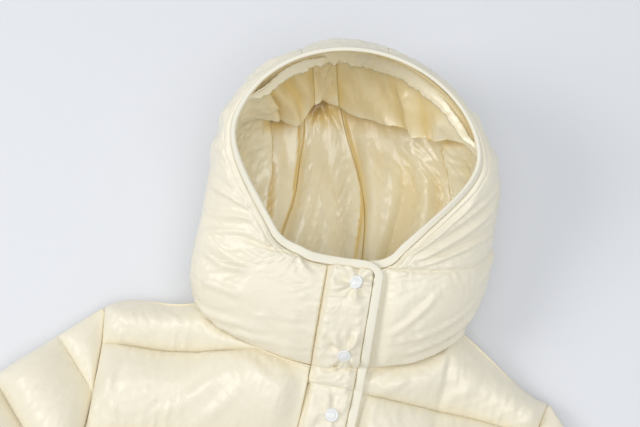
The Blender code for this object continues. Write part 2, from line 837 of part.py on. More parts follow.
def binding_section(centre, wide, thick):
    """Six points round a centre: wide and thick are its half axes as vectors."""
    points = []
    for k in range(6):
        turn = math.pi * k / 3
        points.append(centre + wide * math.cos(turn) + thick * math.sin(turn))
    return points


def tube_section(angle, share, rise, over):
    """A section of the tape where it runs round the opening, raised over the placket by over."""
    point, out, up = tube_frame(angle, share)
    centre = point + up * rise + out * over
    return binding_section(centre, up * BINDING_WIDE / 2, out * BINDING_THICK / 2)


def make_binding():
    """One tape round the face opening, over the placket's top corner and down its edge."""
    rise = BINDING_WIDE / 2 + GAP
    half_wide, half_thick = BINDING_WIDE / 2, BINDING_THICK / 2
    over = UNDER_PLACKET + PLACKET_EDGE / 2 + half_thick + 4 * GAP
    start = tube_angle(UNDERLAP_END + 8 * MM, 1.0)
    angles = [start, start + 3, start + 7, 15, 22, *SIDE_ANGLES, 90, *BACK_ANGLES, 161, 171]
    angles += [180] + [360 - a for a in reversed(angles[5:])] + [341]
    sections = []
    for angle in angles:
        climb = smooth((angle - CLIMB_FROM) / CLIMB_OVER)
        sections.append(tube_section(angle, 1.0, rise, over * climb))
    edge_x = PLACKET_RIGHT + rise
    for x in (PLACKET_LEFT, MIDDLE_PLACKET, PLACKET_RIGHT):
        sections.append(tube_section(tube_angle(x, 1.0), 1.0, rise, over))
    hub, out, up = tube_frame(tube_angle(PLACKET_RIGHT, 1.0), 1.0)
    side = np.array((1.0, 0, 0))
    for degrees in (30, 60):
        turn = math.radians(degrees)
        spoke = up * math.cos(turn) + side * math.sin(turn)
        sections.append(binding_section(hub + out * over + spoke * rise, spoke * half_wide, out * half_thick))
    for share in (0.80, 0.5, 0.2):
        point, out, _ = tube_frame(tube_angle(edge_x, share), share)
        sections.append(binding_section(point + out * over, side * half_wide, out * half_thick))
    upright = np.array((0, 0, half_thick))
    sections.append(binding_section(neck_offset(tube_angle(edge_x, 0), over), side * half_wide, upright))
    for y in reversed(body_rows(edge_x, False)[:-1]):
        z = max(front_faces(x, y, False)[1] for x in (PLACKET_RIGHT, BESIDE_PLACKET))
        centre = np.array((edge_x, y, z + half_thick + 2 * GAP))
        sections.append(binding_section(centre, side * half_wide, upright))
    sweep("binding", sections, BINDING_TAPE)


SNAP_AROUND = 14
SNAP_SPOTS = (0.35 * SNAP_RADIUS, 0.7 * SNAP_RADIUS, SNAP_RADIUS)  # circles that feel for the seat
DomeRing = namedtuple("DomeRing", "height reach")  # shares of the snap's height and radius
DOME = (DomeRing(0.0, 0.90), DomeRing(0.35, 1.0), DomeRing(0.75, 0.93), DomeRing(1.0, 0.62))


def make_snap(name, seat, out):
    """A plain domed snap cap of plastic on its seat."""
    out = out / np.linalg.norm(out)
    side = np.array((1.0, 0, 0)) - out * out[0]
    side /= np.linalg.norm(side)
    other = np.cross(out, side)
    sections = []
    for ring in DOME:
        section = []
        for k in range(SNAP_AROUND):
            turn = 2 * math.pi * k / SNAP_AROUND
            spoke = side * math.cos(turn) + other * math.sin(turn)
            section.append(seat + out * SNAP_HEIGHT * ring.height + spoke * SNAP_RADIUS * ring.reach)
        sections.append(section)
    sweep(name, sections, SNAP_PLASTIC)


def seat_on_placket(face, y):
    """Seat and direction of a snap that lies on the placket's facets without cutting them."""
    turns = [2 * math.pi * k / SNAP_AROUND for k in range(SNAP_AROUND)]
    spots = [(r * math.cos(t), r * math.sin(t)) for r in SNAP_SPOTS for t in turns]
    heights = [facet_height(face, SNAP_LINE + dx, y + dy) for dx, dy in spots]
    spread = sum(dx * dx for dx, _ in spots)
    slope_x = sum(h * dx for h, (dx, _) in zip(heights, spots)) / spread
    slope_y = sum(h * dy for h, (_, dy) in zip(heights, spots)) / spread
    level = max(h - dx * slope_x - dy * slope_y for h, (dx, dy) in zip(heights, spots))
    return np.array((SNAP_LINE, y, level + GAP)), np.array((-slope_x, -slope_y, 1.0))


def make_snaps():
    for k, share in enumerate(SNAP_COLLAR):
        angle = tube_angle(SNAP_LINE, share)
        _, out, _ = tube_frame(angle, share)
        seat = set_off(angle, share, placket_top(angle, share, share) + 2 * GAP)
        make_snap(f"snap_collar_{k + 1}", seat, out)
    _, face = placket_faces()
    for k in range(SNAP_BODY_COUNT):
        make_snap(f"snap_body_{k + 1}", *seat_on_placket(face, SNAP_BODY_FIRST - SNAP_PITCH * k))


def main():
    for piece in list(bpy.data.objects):
        bpy.data.objects.remove(piece, do_unlink=True)
    make_body()
    make_body_placket()
    make_collar()
    make_collar_placket()
    make_hood()
    make_facing()
    make_sleeves()
    make_cuffs()
    make_hem()
    make_binding()
    make_snaps()


main()
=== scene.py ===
import json
import math
from collections import namedtuple

import bpy
import numpy as np
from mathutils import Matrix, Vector

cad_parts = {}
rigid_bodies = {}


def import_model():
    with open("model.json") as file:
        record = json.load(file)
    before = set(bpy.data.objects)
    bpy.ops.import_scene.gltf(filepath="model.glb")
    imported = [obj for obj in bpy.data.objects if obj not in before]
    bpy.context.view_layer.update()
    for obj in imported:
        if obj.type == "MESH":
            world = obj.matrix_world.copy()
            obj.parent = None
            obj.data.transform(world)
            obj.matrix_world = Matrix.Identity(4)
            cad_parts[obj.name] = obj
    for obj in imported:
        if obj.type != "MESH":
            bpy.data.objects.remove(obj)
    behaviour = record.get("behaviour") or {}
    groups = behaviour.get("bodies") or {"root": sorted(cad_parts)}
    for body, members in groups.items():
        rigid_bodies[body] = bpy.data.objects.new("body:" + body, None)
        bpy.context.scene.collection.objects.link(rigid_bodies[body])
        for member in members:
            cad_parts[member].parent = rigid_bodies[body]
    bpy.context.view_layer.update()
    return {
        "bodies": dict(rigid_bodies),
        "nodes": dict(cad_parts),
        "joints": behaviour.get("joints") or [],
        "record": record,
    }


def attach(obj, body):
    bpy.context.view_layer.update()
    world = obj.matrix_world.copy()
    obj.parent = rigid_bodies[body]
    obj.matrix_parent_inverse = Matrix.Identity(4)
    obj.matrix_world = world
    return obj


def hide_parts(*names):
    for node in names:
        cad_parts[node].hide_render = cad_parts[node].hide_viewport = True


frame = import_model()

MM = 0.001
EDGE = 3.0 * MM
SEAM_REACH = 1.3 * MM  # how far from a seam the cloth is painted deeper in colour: the seam's own line, and painted shade in the gap between pieces
TIP = np.array((240, 20)) * MM
NECK_SIDE = 128 * MM
HEM_Y = -550 * MM
LINE_1 = -18 * MM
PITCH = 95 * MM
CHANNELS = 7
BACK_LINE = 15 * MM
BACK_PUFF = 9 * MM
FRONT_LINE = 6 * MM
FRONT_PUFF = 20 * MM
LAYER_GAP = 1 * MM
SIDE_SEAM_Z = 15 * MM
HEM_BACK_Z = 8 * MM
HEM_FRONT_Z = 20 * MM
ROUND = 36 * MM

SNAP_LINE = 22 * MM
PLACKET_LEFT = SNAP_LINE - 31 * MM
PLACKET_RIGHT = SNAP_LINE + 16 * MM
UNDERLAP_END = PLACKET_LEFT + 3 * MM
PLACKET_THICK = 4 * MM
PLACKET_PUFF = 5 * MM
UNDER_PLACKET = 1.8 * MM
SNAP_BODY_FIRST = -45 * MM
SNAP_PITCH = 78 * MM
SNAP_BODY_COUNT = 7
SNAP_COLLAR = (0.84, 0.17)

BINDING_WIDE = 9.2 * MM  # a little narrower than the part's
BINDING_THICK = 7 * MM
TAPE_OUT = 1.9 * MM  # how far the tape is rolled out round the opening
TAPE_LOW = 2.1 * MM  # half the thickness of the folded tape as it is worn down
TAPE_WIDE = 14 * MM
TAPE_THICK = 3 * MM
CUFF_WIDE = 18 * MM

SLEEVE_SLOPE = math.radians(45.6)
SLEEVE_LENGTH = 572 * MM
CUFF_HALF = 61 * MM
SLEEVE_LINE_1 = 57 * MM

WALL_OUT = 9 * MM
WALL_IN = 9 * MM
STRIP_HALF = 42 * MM
LINING = 1.2 * MM

HOOD_TURN = math.radians(12)
TURN_LOW = -70 * MM
TURN_HIGH = 150 * MM
TURN_REACH = (150 * MM, 240 * MM)
HOOD_SHIFT = 34 * MM
SHIFT_HIGH = 220 * MM
SLUMP = 11 * MM  # how far the crown leans to its own right
SLUMP_LOW = 180 * MM
SLUMP_HIGH = 320 * MM
DRAW_LEFT = 0.20  # how far the tape pulls in the lower corners of the opening
DRAW_RIGHT = 0.30
COLLAR_RISE = 11 * MM  # how much higher the collar's top edge stands beside the placket
COLLAR_SLIM = 0.045  # how much narrower the collar is at the garment's right, and less so at its left
SHOULDER_TURN = 9 * MM  # how far the right shoulder's edge is raised and the left one lowered

Ring = namedtuple("Ring", "share front_y front_z side_x side_y side_z back_y back_z")
TUBE = (
    Ring(0.00, 0, 62, 128, 63, 32, 80, 12),
    Ring(0.14, 14, 80, 142, 80, 46, 130, 10),
    Ring(0.30, 30, 95, 150, 104, 60, 200, 10),
    Ring(0.46, 46, 106, 150, 130, 74, 268, 14),
    Ring(0.60, 60, 113, 147, 155, 92, 316, 46),
    Ring(0.74, 70, 117, 143, 174, 112, 334, 100),
    Ring(0.87, 78, 119, 136, 185, 137, 318, 156),
    Ring(1.00, 84, 119, 126, 190, 158, 295, 201),
)
Join = namedtuple("Join", "angle share")
COLLAR_TOP = (
    Join(24, 0.99),
    Join(28, 0.93),
    Join(40, 0.79),
    Join(60, 0.60),
    Join(90, 0.45),
    Join(130, 0.31),
    Join(180, 0.22),
)
Side = namedtuple("Side", "y x")
SIDE = (
    Side(-550, 288),
    Side(-400, 290),
    Side(-303, 287),
    Side(-240, 283),
    Side(-180, 246),
    Side(-110, 227),
    Side(-60, 229),
    Side(-18, 233),
    Side(20, 240),
)
ARMPIT_Y = LINE_1 - PITCH * 7 / 3


# ---------------------------------------------------------------- numbers


def smooth(share):
    share = np.clip(share, 0.0, 1.0)
    return share * share * (3 - 2 * share)


def blend(low, high, share):
    return low + (high - low) * share


def bell(distance, reach):
    """1 at no distance, falling smoothly to 0 past the reach."""
    return np.exp(-((distance / reach) ** 2))


def crowded(count):
    """Places from 0 to 1 that lie closer together towards both ends."""
    return (1 - np.cos(np.linspace(0, math.pi, count))) / 2


def read_table(rows, at):
    """The columns of a table after its first, at each place, on a smooth curve through its rows."""
    place = np.array([row[0] for row in rows], float)
    values = np.array([row[1:] for row in rows], float)
    slope = np.gradient(values, place, axis=0)
    at = np.clip(np.asarray(at, float), place[0], place[-1])
    k = np.clip(np.searchsorted(place, at, side="right") - 1, 0, len(place) - 2)
    step = (place[k + 1] - place[k])[..., None]
    t = (at - place[k])[..., None] / step
    start = (1 + 2 * t) * (1 - t) ** 2 * values[k] + t * (1 - t) ** 2 * step * slope[k]
    end = t * t * (3 - 2 * t) * values[k + 1] - t * t * (1 - t) * step * slope[k + 1]
    return start + end


def settle(points):
    x, y, z = points[..., 0], points[..., 1], points[..., 2]
    low, high = TURN_REACH
    near = 1 - smooth((np.abs(x) - low) / (high - low))
    turn = HOOD_TURN * near * smooth((y - TURN_LOW) / (TURN_HIGH - TURN_LOW))
    c, s = np.cos(turn), np.sin(turn)
    shift = HOOD_SHIFT * smooth(y / SHIFT_HIGH) - SLUMP * smooth((y - SLUMP_LOW) / (SLUMP_HIGH - SLUMP_LOW))
    return np.stack((x * c - y * s + shift * near, x * s + y * c, z), -1)


def ripple(u, v, seed, scale=1.0):
    """Smooth noise from about -1 to 1 at places (u, v), with features of about `scale`."""
    x, y = np.asarray(u) / scale + seed * 17.3, np.asarray(v) / scale + seed * 5.1
    left, low = np.floor(x), np.floor(y)
    x, y = x - left, y - low
    corners = []
    for i in (0, 1):
        for j in (0, 1):
            mixed = np.sin((left + i) * 127.1 + (low + j) * 311.7 + seed * 74.7) * 43758.5453
            turn = 2 * math.pi * (mixed - np.floor(mixed))
            corners.append(np.cos(turn) * (x - i) + np.sin(turn) * (y - j))
    x, y = x**3 * (x * (x * 6 - 15) + 10), y**3 * (y * (y * 6 - 15) + 10)
    return 1.5 * blend(blend(corners[0], corners[1], y), blend(corners[2], corners[3], y), x)


def ridges(u, v, seed, scale, sharp=2.6):
    """Sharp creases: 1 on a crease, falling to 0 away from it."""
    return np.clip(1 - np.abs(ripple(u, v, seed, scale)) * sharp, 0, 1) ** 1.4


def wrinkles(u, v, seed, turn, long, wide, high):
    """Crisp narrow folds that run one way, in uneven patches: long and wide are their usual sizes."""
    c, s = math.cos(turn), math.sin(turn)
    along, across = u * c + v * s, v * c - u * s
    across = across + 0.9 * wide * ripple(along, across, seed + 0.3, long)
    crest = ridges(along / long, across / wide, seed, 1.0)
    patch = smooth(0.45 + 1.3 * ripple(u, v, seed + 0.6, 1.8 * long))
    return high * crest * patch


# ---------------------------------------------------------------- meshes


def new_piece(name, points, faces, material, seam_and_shade=None):
    """The last argument is the value stored on each point, from 0 to 2, that deepens its colour: at seams,
    and as painted shade in gaps, hollows and under folds.
    """
    mesh = bpy.data.meshes.new(name)
    mesh.from_pydata(settle(np.asarray(points, float)).tolist(), [], faces)
    mesh.update()
    mesh.shade_smooth()
    mesh.materials.append(material)
    # stored as "seam": the seam colour and painted shade together
    if seam_and_shade is not None:
        mesh.attributes.new("seam", "FLOAT", "POINT").data.foreach_set("value", seam_and_shade.astype(np.float32))
    piece = bpy.data.objects.new(name, mesh)
    bpy.context.scene.collection.objects.link(piece)
    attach(piece, "root")
    return piece


def grid_faces(rows, columns, start=0, flip=False, wrap=False):
    faces = []
    across = columns if wrap else columns - 1
    for i in range(rows - 1):
        for j in range(across):
            a = start + i * columns + j
            b = start + i * columns + (j + 1) % columns
            quad = (a, b, b + columns, a + columns)
            faces.append(quad[::-1] if flip else quad)
    return faces


BORDERS = ("first", "last", "left", "right")  # rows, then columns


def near_seam(grid, seams):
    """How near each point of a grid is to those of its borders that are seams, from 1 on one to 0."""
    reach = dict.fromkeys(BORDERS)
    for axis, (start, end) in enumerate((BORDERS[:2], BORDERS[2:])):
        step = np.linalg.norm(np.diff(grid, axis=axis), axis=-1)
        zero = np.zeros_like(np.take(step, [0], axis=axis))
        reach[start] = np.concatenate((zero, np.cumsum(step, axis=axis)), axis=axis)
        reach[end] = np.take(reach[start], [-1], axis=axis) - reach[start]
    nearest = np.min([reach[border] for border in seams], axis=0) if seams else np.ones(grid.shape[:2])
    return bell(nearest, SEAM_REACH)


def wall(name, upper, lower, material, inner=None, seams=BORDERS, deep=0.0):
    """A closed wall between two grids of points, upper facing out; inner is the lower face's material."""
    rows, columns = upper.shape[:2]
    count = rows * columns
    faces = grid_faces(rows, columns) + grid_faces(rows, columns, count, flip=True)
    rim = [j for j in range(columns)]
    rim += [i * columns + columns - 1 for i in range(1, rows)]
    rim += [(rows - 1) * columns + j for j in range(columns - 2, -1, -1)]
    rim += [i * columns for i in range(rows - 2, 0, -1)]
    for here, after in zip(rim, rim[1:] + rim[:1]):
        faces.append((here, count + here, count + after, after))
    points = np.concatenate((upper.reshape(-1, 3), lower.reshape(-1, 3)))
    # value stored on each point: nearness to a seam, for the seam line and painted shade in the gap, or deep,
    # the painted shade passed in
    colour = np.maximum(near_seam(upper, seams), deep).ravel()
    piece = new_piece(name, points, faces, material, np.tile(colour, 2))
    face_outwards(piece)
    if inner is not None:
        piece.data.materials.append(inner)
        each = (rows - 1) * (columns - 1)
        slots = np.zeros(len(piece.data.polygons), dtype=np.int32)
        slots[each : 2 * each] = 1
        piece.data.polygons.foreach_set("material_index", slots)
    return piece


def face_outwards(piece):
    mesh = piece.data
    mesh.calc_loop_triangles()
    co = np.empty(len(mesh.vertices) * 3)
    mesh.vertices.foreach_get("co", co)
    corners = np.empty(len(mesh.loop_triangles) * 3, dtype=np.int32)
    mesh.loop_triangles.foreach_get("vertices", corners)
    a, b, c = np.moveaxis(co.reshape(-1, 3)[corners.reshape(-1, 3)], 1, 0)
    if np.einsum("ij,ij->", a, np.cross(b, c)) < 0:
        mesh.flip_normals()


# ---------------------------------------------------------------- collar and hood forms


def from_front(angle):
    """Degrees from the front of the garment, below 0 on its right."""
    return (np.asarray(angle, float) + 180) % 360 - 180


def tube_point(angle, share):
    angle, share = np.broadcast_arrays(np.asarray(angle, float), np.asarray(share, float))
    ring = np.moveaxis(read_table(TUBE, share) * MM, -1, 0)
    front_y, front_z, side_x, side_y, side_z, back_y, back_z = ring
    c, s = np.cos(np.radians(angle)), np.sin(np.radians(angle))
    middle_y, middle_z = (front_y + back_y) / 2, (front_z + back_z) / 2
    y = middle_y + (front_y - back_y) / 2 * c + (side_y - middle_y) * s * s
    z = middle_z + (front_z - back_z) / 2 * c + (side_z - middle_z) * s * s
    return np.stack((side_x * s * drawn_in(angle, share), y + collar_rise(angle, share), z), -1)


def collar_rise(angle, share):
    """How far the collar's top edge stands up at the front, most beside the placket."""
    turned = from_front(angle)
    return COLLAR_RISE * smooth((turned + 52) / 32) * smooth((34 - turned) / 46) * smooth((share - 0.8) / 0.2)


def drawn_in(angle, share):
    turned = np.abs(from_front(angle))
    left = DRAW_LEFT * smooth((turned - 20) / 22) * smooth((94 - turned) / 48)
    right = DRAW_RIGHT * smooth((turned - 6) / 24) * smooth((115 - turned) / 62)
    corner = np.where(np.asarray(angle) % 360 < 180, left, right)
    middle = smooth(share / 0.2) * smooth((0.75 - share) / 0.3)
    slim = COLLAR_SLIM * smooth(1 - np.abs(turned - 84) / 60) * middle
    slim = np.where(np.asarray(angle) % 360 < 180, 0.3 * slim, slim)
    return 1 - corner * smooth((share - 0.45) / 0.55) - slim


def tube_frame(angle, share):
    step = 0.01
    share = np.asarray(share, float)
    up = tube_point(angle, np.minimum(1, share + step)) - tube_point(angle, np.maximum(0, share - step))
    around = tube_point(angle + 2, share) - tube_point(angle - 2, share)
    out = np.cross(around, up)
    out /= np.linalg.norm(out, axis=-1, keepdims=True)
    return tube_point(angle, share), out, up / np.linalg.norm(up, axis=-1, keepdims=True)


def tube_angle(x, share, back=False):
    side_x = read_table(TUBE, share)[..., 2] * MM
    angle = np.degrees(np.arcsin(np.clip(x / side_x, -1, 1)))
    return 180 - angle if back else angle


def join_share(angle):
    turned = np.abs(from_front(angle))
    return np.where(turned < 24, 0.99, read_table(COLLAR_TOP, turned)[..., 0])


def set_off(angle, share, distance, floor=0.0):
    point, out, _ = tube_frame(angle, share)
    moved = point + out * np.asarray(distance)[..., None]
    moved[..., 2] = np.maximum(moved[..., 2], floor)
    return moved


def puff(share):
    return np.sqrt(np.clip(4 * share * (1 - share), 0, 1))


def near_placket(x):
    return smooth((np.abs(x - SNAP_LINE) - 26 * MM) / (16 * MM))


def around_mm(angle):
    """Distance round the tube that an angle stands for, in metres."""
    return np.asarray(angle) * 2.35 * MM


def up_mm(share):
    """Distance up the tube that a share stands for, in metres."""
    return np.asarray(share) * 0.25


EDGE_STITCH = 8 * MM  # distance of the stitched line from the opening

# from one place to another: angle and share on the tube, or x and y in mm on the body; wide and high in mm
Crease = namedtuple("Crease", "angle share angle_end share_end wide high")


def beside_line(u, v, a, b):
    """How far along the line from a to b each place lies, as a share, and its distance to the line's left."""
    line = np.subtract(b, a)
    length = np.hypot(*line)
    line /= length
    du, dv = u - a[0], v - a[1]
    return (du * line[0] + dv * line[1]) / length, dv * line[0] - du * line[1]


def fold_lines(u, v, rows, place):
    """Height of listed folds: each a ridge along a line, with a hollow beside it."""
    total = np.zeros(np.shape(u))
    for row in rows:
        along, across = beside_line(u, v, place(row[0], row[1]), place(row[2], row[3]))
        across = across / (row.wide * MM) + 0.45 * np.sin(along * 4 + row[0])
        fade = smooth(along / 0.25) * smooth((1 - along) / 0.25)
        ridge = bell(across, 1) - 0.5 * bell(across - 1.6, 1) - 0.25 * bell(across + 1.7, 1)
        total += row.high * MM * ridge * fade
    return total


def creases(angle, share, rows):
    return fold_lines(around_mm(angle), up_mm(share), rows, lambda a, b: (around_mm(a), up_mm(b)))


def seam_puckers(along, distance, seed, high=1.8 * MM, reach=17 * MM, spacing=11 * MM):
    """Short folds that run away from a seam and fade out, from 0 at the stitches."""
    wander = 0.3 * spacing * ripple(along, distance, seed + 7, 16 * MM)
    lines = ridges(along + wander, distance * 0.12, seed, spacing, 1.7)
    fine = ridges(along - wander, distance * 0.2, seed + 3, spacing * 0.5, 1.7)
    longer = reach * (1 + 0.9 * ripple(along, 0 * along, seed + 5, spacing * 3))
    rise = np.clip(distance / (4 * MM), 0, 1)
    high = high * (0.75 + 0.7 * ripple(along, 0 * along, seed + 6, spacing * 4))
    return high * rise * np.exp(-distance / np.maximum(longer, 5 * MM)) * (1.3 * lines + 0.5 * fine - 0.5)


def crumple(u, v, seed, high, scale):
    """Soft irregular creasing of thin nylon over its filling, with crisp folds across it."""
    big = ripple(u, v, seed, scale)
    total = 0.8 * high * big
    total = total + wrinkles(u, v, seed + 1, 0.5, 0.9 * scale, 0.26 * scale, 0.75 * high)
    total = total + wrinkles(u, v, seed + 2, -0.7, 0.8 * scale, 0.22 * scale, 0.65 * high)
    total = total + wrinkles(u, v, seed + 3, 1.5, 0.6 * scale, 0.16 * scale, 0.45 * high)
    return total + 0.16 * high * ripple(u, v, seed + 4, 0.16 * scale)


# ---------------------------------------------------------------- materials


def node_material(name, colour, roughness, coat=0.0):
    made = bpy.data.materials.new(name)
    made.use_nodes = True
    shader = made.node_tree.nodes["Principled BSDF"]
    shader.inputs["Base Color"].default_value = (*colour, 1)
    shader.inputs["Roughness"].default_value = roughness
    shader.inputs["Coat Weight"].default_value = coat
    shader.inputs["Coat Roughness"].default_value = 0.3
    return made


def add_node(material, kind, **values):
    node = material.node_tree.nodes.new(kind)
    for key, value in values.items():
        if hasattr(node, key):
            setattr(node, key, value)
        else:
            node.inputs[key.replace("_", " ").title()].default_value = value
    return node


# scale, detail, roughness and distortion of the noise, then the bump's strength and distance
CRINKLES = (
    (38.0, 4.0, 0.55, 0.8, 0.55, 0.004),
    (150.0, 3.0, 0.6, 1.2, 0.35, 0.0012),
    (1400.0, 1.0, 0.5, 0.0, 0.12, 0.0002),
)
SHEEN = 0.1
DEEPEST_SHADE = (0.46, 0.30, 0.11)  # painted deepest shade: colour where the stored value reaches 2, in the lining's tuck, beneath its lip and folds, and in the facing's recessed band


def nylon(name, colour, deep, seam, roughness, coat, crinkle):
    """Thin glossy nylon: fine crinkles break up the shine, and the stored value "seam" deepens the colour: at
    seams, and as painted shade in gaps, hollows and under folds.
    """
    made = node_material(name, colour, roughness, coat)
    link = made.node_tree.links.new
    shader = made.node_tree.nodes["Principled BSDF"]
    shader.inputs["Sheen Weight"].default_value = SHEEN
    place = add_node(made, "ShaderNodeTexCoord")
    normal = None
    textures = []
    for scale, detail, rough, distortion, strength, distance in CRINKLES:
        look = {"Scale": scale, "Detail": detail, "Roughness": rough, "Distortion": distortion}
        texture = add_node(made, "ShaderNodeTexNoise", **look)
        link(place.outputs["Object"], texture.inputs["Vector"])
        bump = add_node(made, "ShaderNodeBump", Strength=strength * crinkle, Distance=distance)
        link(texture.outputs["Fac"], bump.inputs["Height"])
        if normal is not None:
            link(normal, bump.inputs["Normal"])
        normal = bump.outputs["Normal"]
        textures.append(texture)
    link(normal, shader.inputs["Normal"])
    link(normal, shader.inputs["Coat Normal"])
    seam_and_shade_mask = add_node(made, "ShaderNodeAttribute", attribute_name="seam")
    deepest_shade = add_node(made, "ShaderNodeMapRange", From_Min=1.0, From_Max=2.0)
    link(seam_and_shade_mask.outputs["Fac"], deepest_shade.inputs["Value"])
    below = None
    # the cloth's two shades mixed by noise, then the seam colour and the painted shade by the stored value,
    # then the deepest painted shade
    for factor, tint in (
        (textures[0].outputs["Fac"], colour),
        (seam_and_shade_mask.outputs["Fac"], seam),
        (deepest_shade.outputs["Result"], DEEPEST_SHADE),
    ):
        mix = add_node(made, "ShaderNodeMix", data_type="RGBA")
        mix.inputs["B"].default_value = (*tint, 1)
        link(factor, mix.inputs["Factor"])
        if below is None:
            mix.inputs["A"].default_value = (*deep, 1)
        else:
            link(below, mix.inputs["A"])
        below = mix.outputs["Result"]
    link(below, shader.inputs["Base Color"])
    return made


# two shades of the cloth, then the colour of its seams, which is also the painted shade in gaps, hollows and
# folds
CREAM = ((0.90, 0.845, 0.69), (0.885, 0.82, 0.65), (0.83, 0.73, 0.50))
WARM = ((0.985, 0.93, 0.735), (0.975, 0.89, 0.63), (0.89, 0.69, 0.30))
SHELL = nylon("cream nylon shell", *CREAM, roughness=0.40, coat=0.35, crinkle=0.55)
INSIDE = nylon("warm nylon lining", *WARM, roughness=0.22, coat=0.9, crinkle=0.55)
TAPE = node_material("cream binding tape", (0.875, 0.835, 0.70), 0.7)
PLASTIC = node_material("white snap plastic", (0.84, 0.85, 0.84), 0.25, 0.3)


# ---------------------------------------------------------------- placket surface


def placket_height(x, along, snaps, seed):
    """How high the placket stands over what it lies on: puffed, and drawn in round the snaps."""
    across = np.clip((x - PLACKET_LEFT) / (PLACKET_RIGHT - PLACKET_LEFT), 0, 1)
    profile = smooth(across / 0.18) * (1 - 0.35 * smooth((across - 0.8) / 0.2))
    high = PLACKET_THICK * 0.4 + (PLACKET_THICK * 0.6 + PLACKET_PUFF) * profile
    high = high + crumple(x, along, seed, 2.0 * MM, 34 * MM) * profile
    for sewn in (x - PLACKET_LEFT, PLACKET_RIGHT - BINDING_WIDE / 2 - x):
        high = high + seam_puckers(along, np.maximum(sewn, 0), seed + 2, 2.6 * MM, 10 * MM, 9 * MM)
    for snap in snaps:
        dx, dy = x - SNAP_LINE, along - snap
        reach = np.hypot(dx, dy)
        turn = np.arctan2(dy, dx)
        high = high - 3.6 * MM * bell(reach, 13 * MM) * profile
        fold = np.cos(5 * turn + snap * 90) + 0.8 * np.cos(9 * turn - snap * 140)
        high = high + 2.4 * MM * fold * bell(reach - 14 * MM, 8 * MM) * profile
    return high


# ---------------------------------------------------------------- collar and hood


def collar_angles(u, share):
    start = tube_angle(UNDERLAP_END, share)
    end = 360 + tube_angle(PLACKET_LEFT - 0.3 * MM, share)
    return blend(start, end, u)


SHELL_CREASES = [Crease(*row) for row in (
    # the garment's right side, fanning out from the opening's lower edge
    (262, 0.72, 291, 1.02, 4.5, 3.0),
    (270, 0.64, 297, 0.97, 4.5, 3.0),
    (278, 0.60, 303, 0.90, 4.0, 2.4),
    (288, 0.58, 320, 0.70, 8.0, 4.0),
    (298, 0.80, 326, 0.99, 5.0, -2.6),
    (298, 0.44, 326, 0.50, 8.0, 3.2),
    (326, 1.05, 356, 0.84, 4.5, 2.4),
    (340, 0.64, 356, 0.84, 4.0, 1.6),
    (330, 0.34, 352, 0.44, 5.0, 1.6),
    (290, 0.16, 336, 0.24, 8.0, 2.4),
    (318, 0.10, 350, 0.20, 6.0, 1.8),
    (256, 0.96, 250, 0.62, 7.0, 2.2),
    (246, 0.98, 236, 0.66, 8.0, 2.4),
    # the garment's left side
    (38, 0.96, 80, 0.92, 4.5, 3.2),
    (39, 0.90, 88, 0.72, 5.5, 3.6),
    (40, 0.84, 86, 0.58, 4.0, 2.8),
    (58, 0.92, 92, 0.80, 4.0, 2.0),
    (22, 0.30, 46, 0.60, 4.5, 2.4),
    (22, 0.26, 74, 0.36, 4.5, 2.6),
    (28, 0.16, 76, 0.24, 5.0, 2.8),
    (30, 0.05, 78, 0.13, 6.0, 3.2),
    (66, 0.46, 100, 0.40, 6.0, 2.6),
    (96, 0.92, 112, 0.66, 7.0, 2.4),
    (112, 0.96, 126, 0.72, 8.0, 2.2),
    # the crown and the back
    (150, 0.97, 176, 0.90, 7.0, 2.0),
    (168, 0.92, 200, 0.84, 8.0, 2.2),
    (208, 0.97, 226, 0.86, 7.0, 2.2),
    (120, 0.56, 150, 0.48, 10.0, 2.4),
    (215, 0.52, 240, 0.60, 10.0, 2.4),
    (110, 0.30, 140, 0.20, 9.0, 2.2),
    (220, 0.20, 250, 0.30, 9.0, 2.2),
)]
SHELL_IN = 1.5 * MM  # the padded wall's inner face, behind the lining


def shell_out(angle, share, seed):
    """How far the padded collar and hood stand out from the seam surface."""
    up, down = up_mm(share), up_mm(1 - share)
    low, high = np.clip(up / (30 * MM), 0, 1), np.clip(down / (26 * MM), 0, 1)
    round_low, round_high = np.sqrt(1 - (1 - low) ** 2), 0.16 + 0.84 * np.sqrt(1 - (1 - high) ** 2)
    crown = bell(np.asarray(angle) - 180, 62) * smooth((share - 0.62) / 0.3)
    out = EDGE / 2 + (WALL_OUT - EDGE / 2) * round_low * round_high * (1 - 0.6 * crown)
    join = up_mm(share - join_share(angle))
    valley = blend(3.2, 0.7, smooth((np.asarray(angle) - 120) / 60)) * MM
    out = out - valley * bell(join, 6 * MM)
    along = around_mm(angle)
    soft = np.clip(up / (14 * MM), 0, 1) * np.clip(down / (5 * MM), 0.2, 1)
    out = out + creases(angle, share, SHELL_CREASES) * soft
    out = out + seam_puckers(along, up, seed, 1.4 * MM)
    out = out + seam_puckers(along, np.abs(join), seed + 10, 1.0 * MM)
    out = out + seam_puckers(along, np.maximum(down - EDGE_STITCH, 0), seed + 20, 1.6 * MM, 20 * MM)
    out = out - 1.2 * MM * bell(down - EDGE_STITCH, 1.3 * MM)
    out = out + crumple(along, up, seed + 30, 1.3 * MM, 58 * MM) * soft
    beside = np.where((angle < 90), near_placket(tube_point(angle, share)[..., 0]), 1.0)
    return blend(UNDER_PLACKET, out, beside)


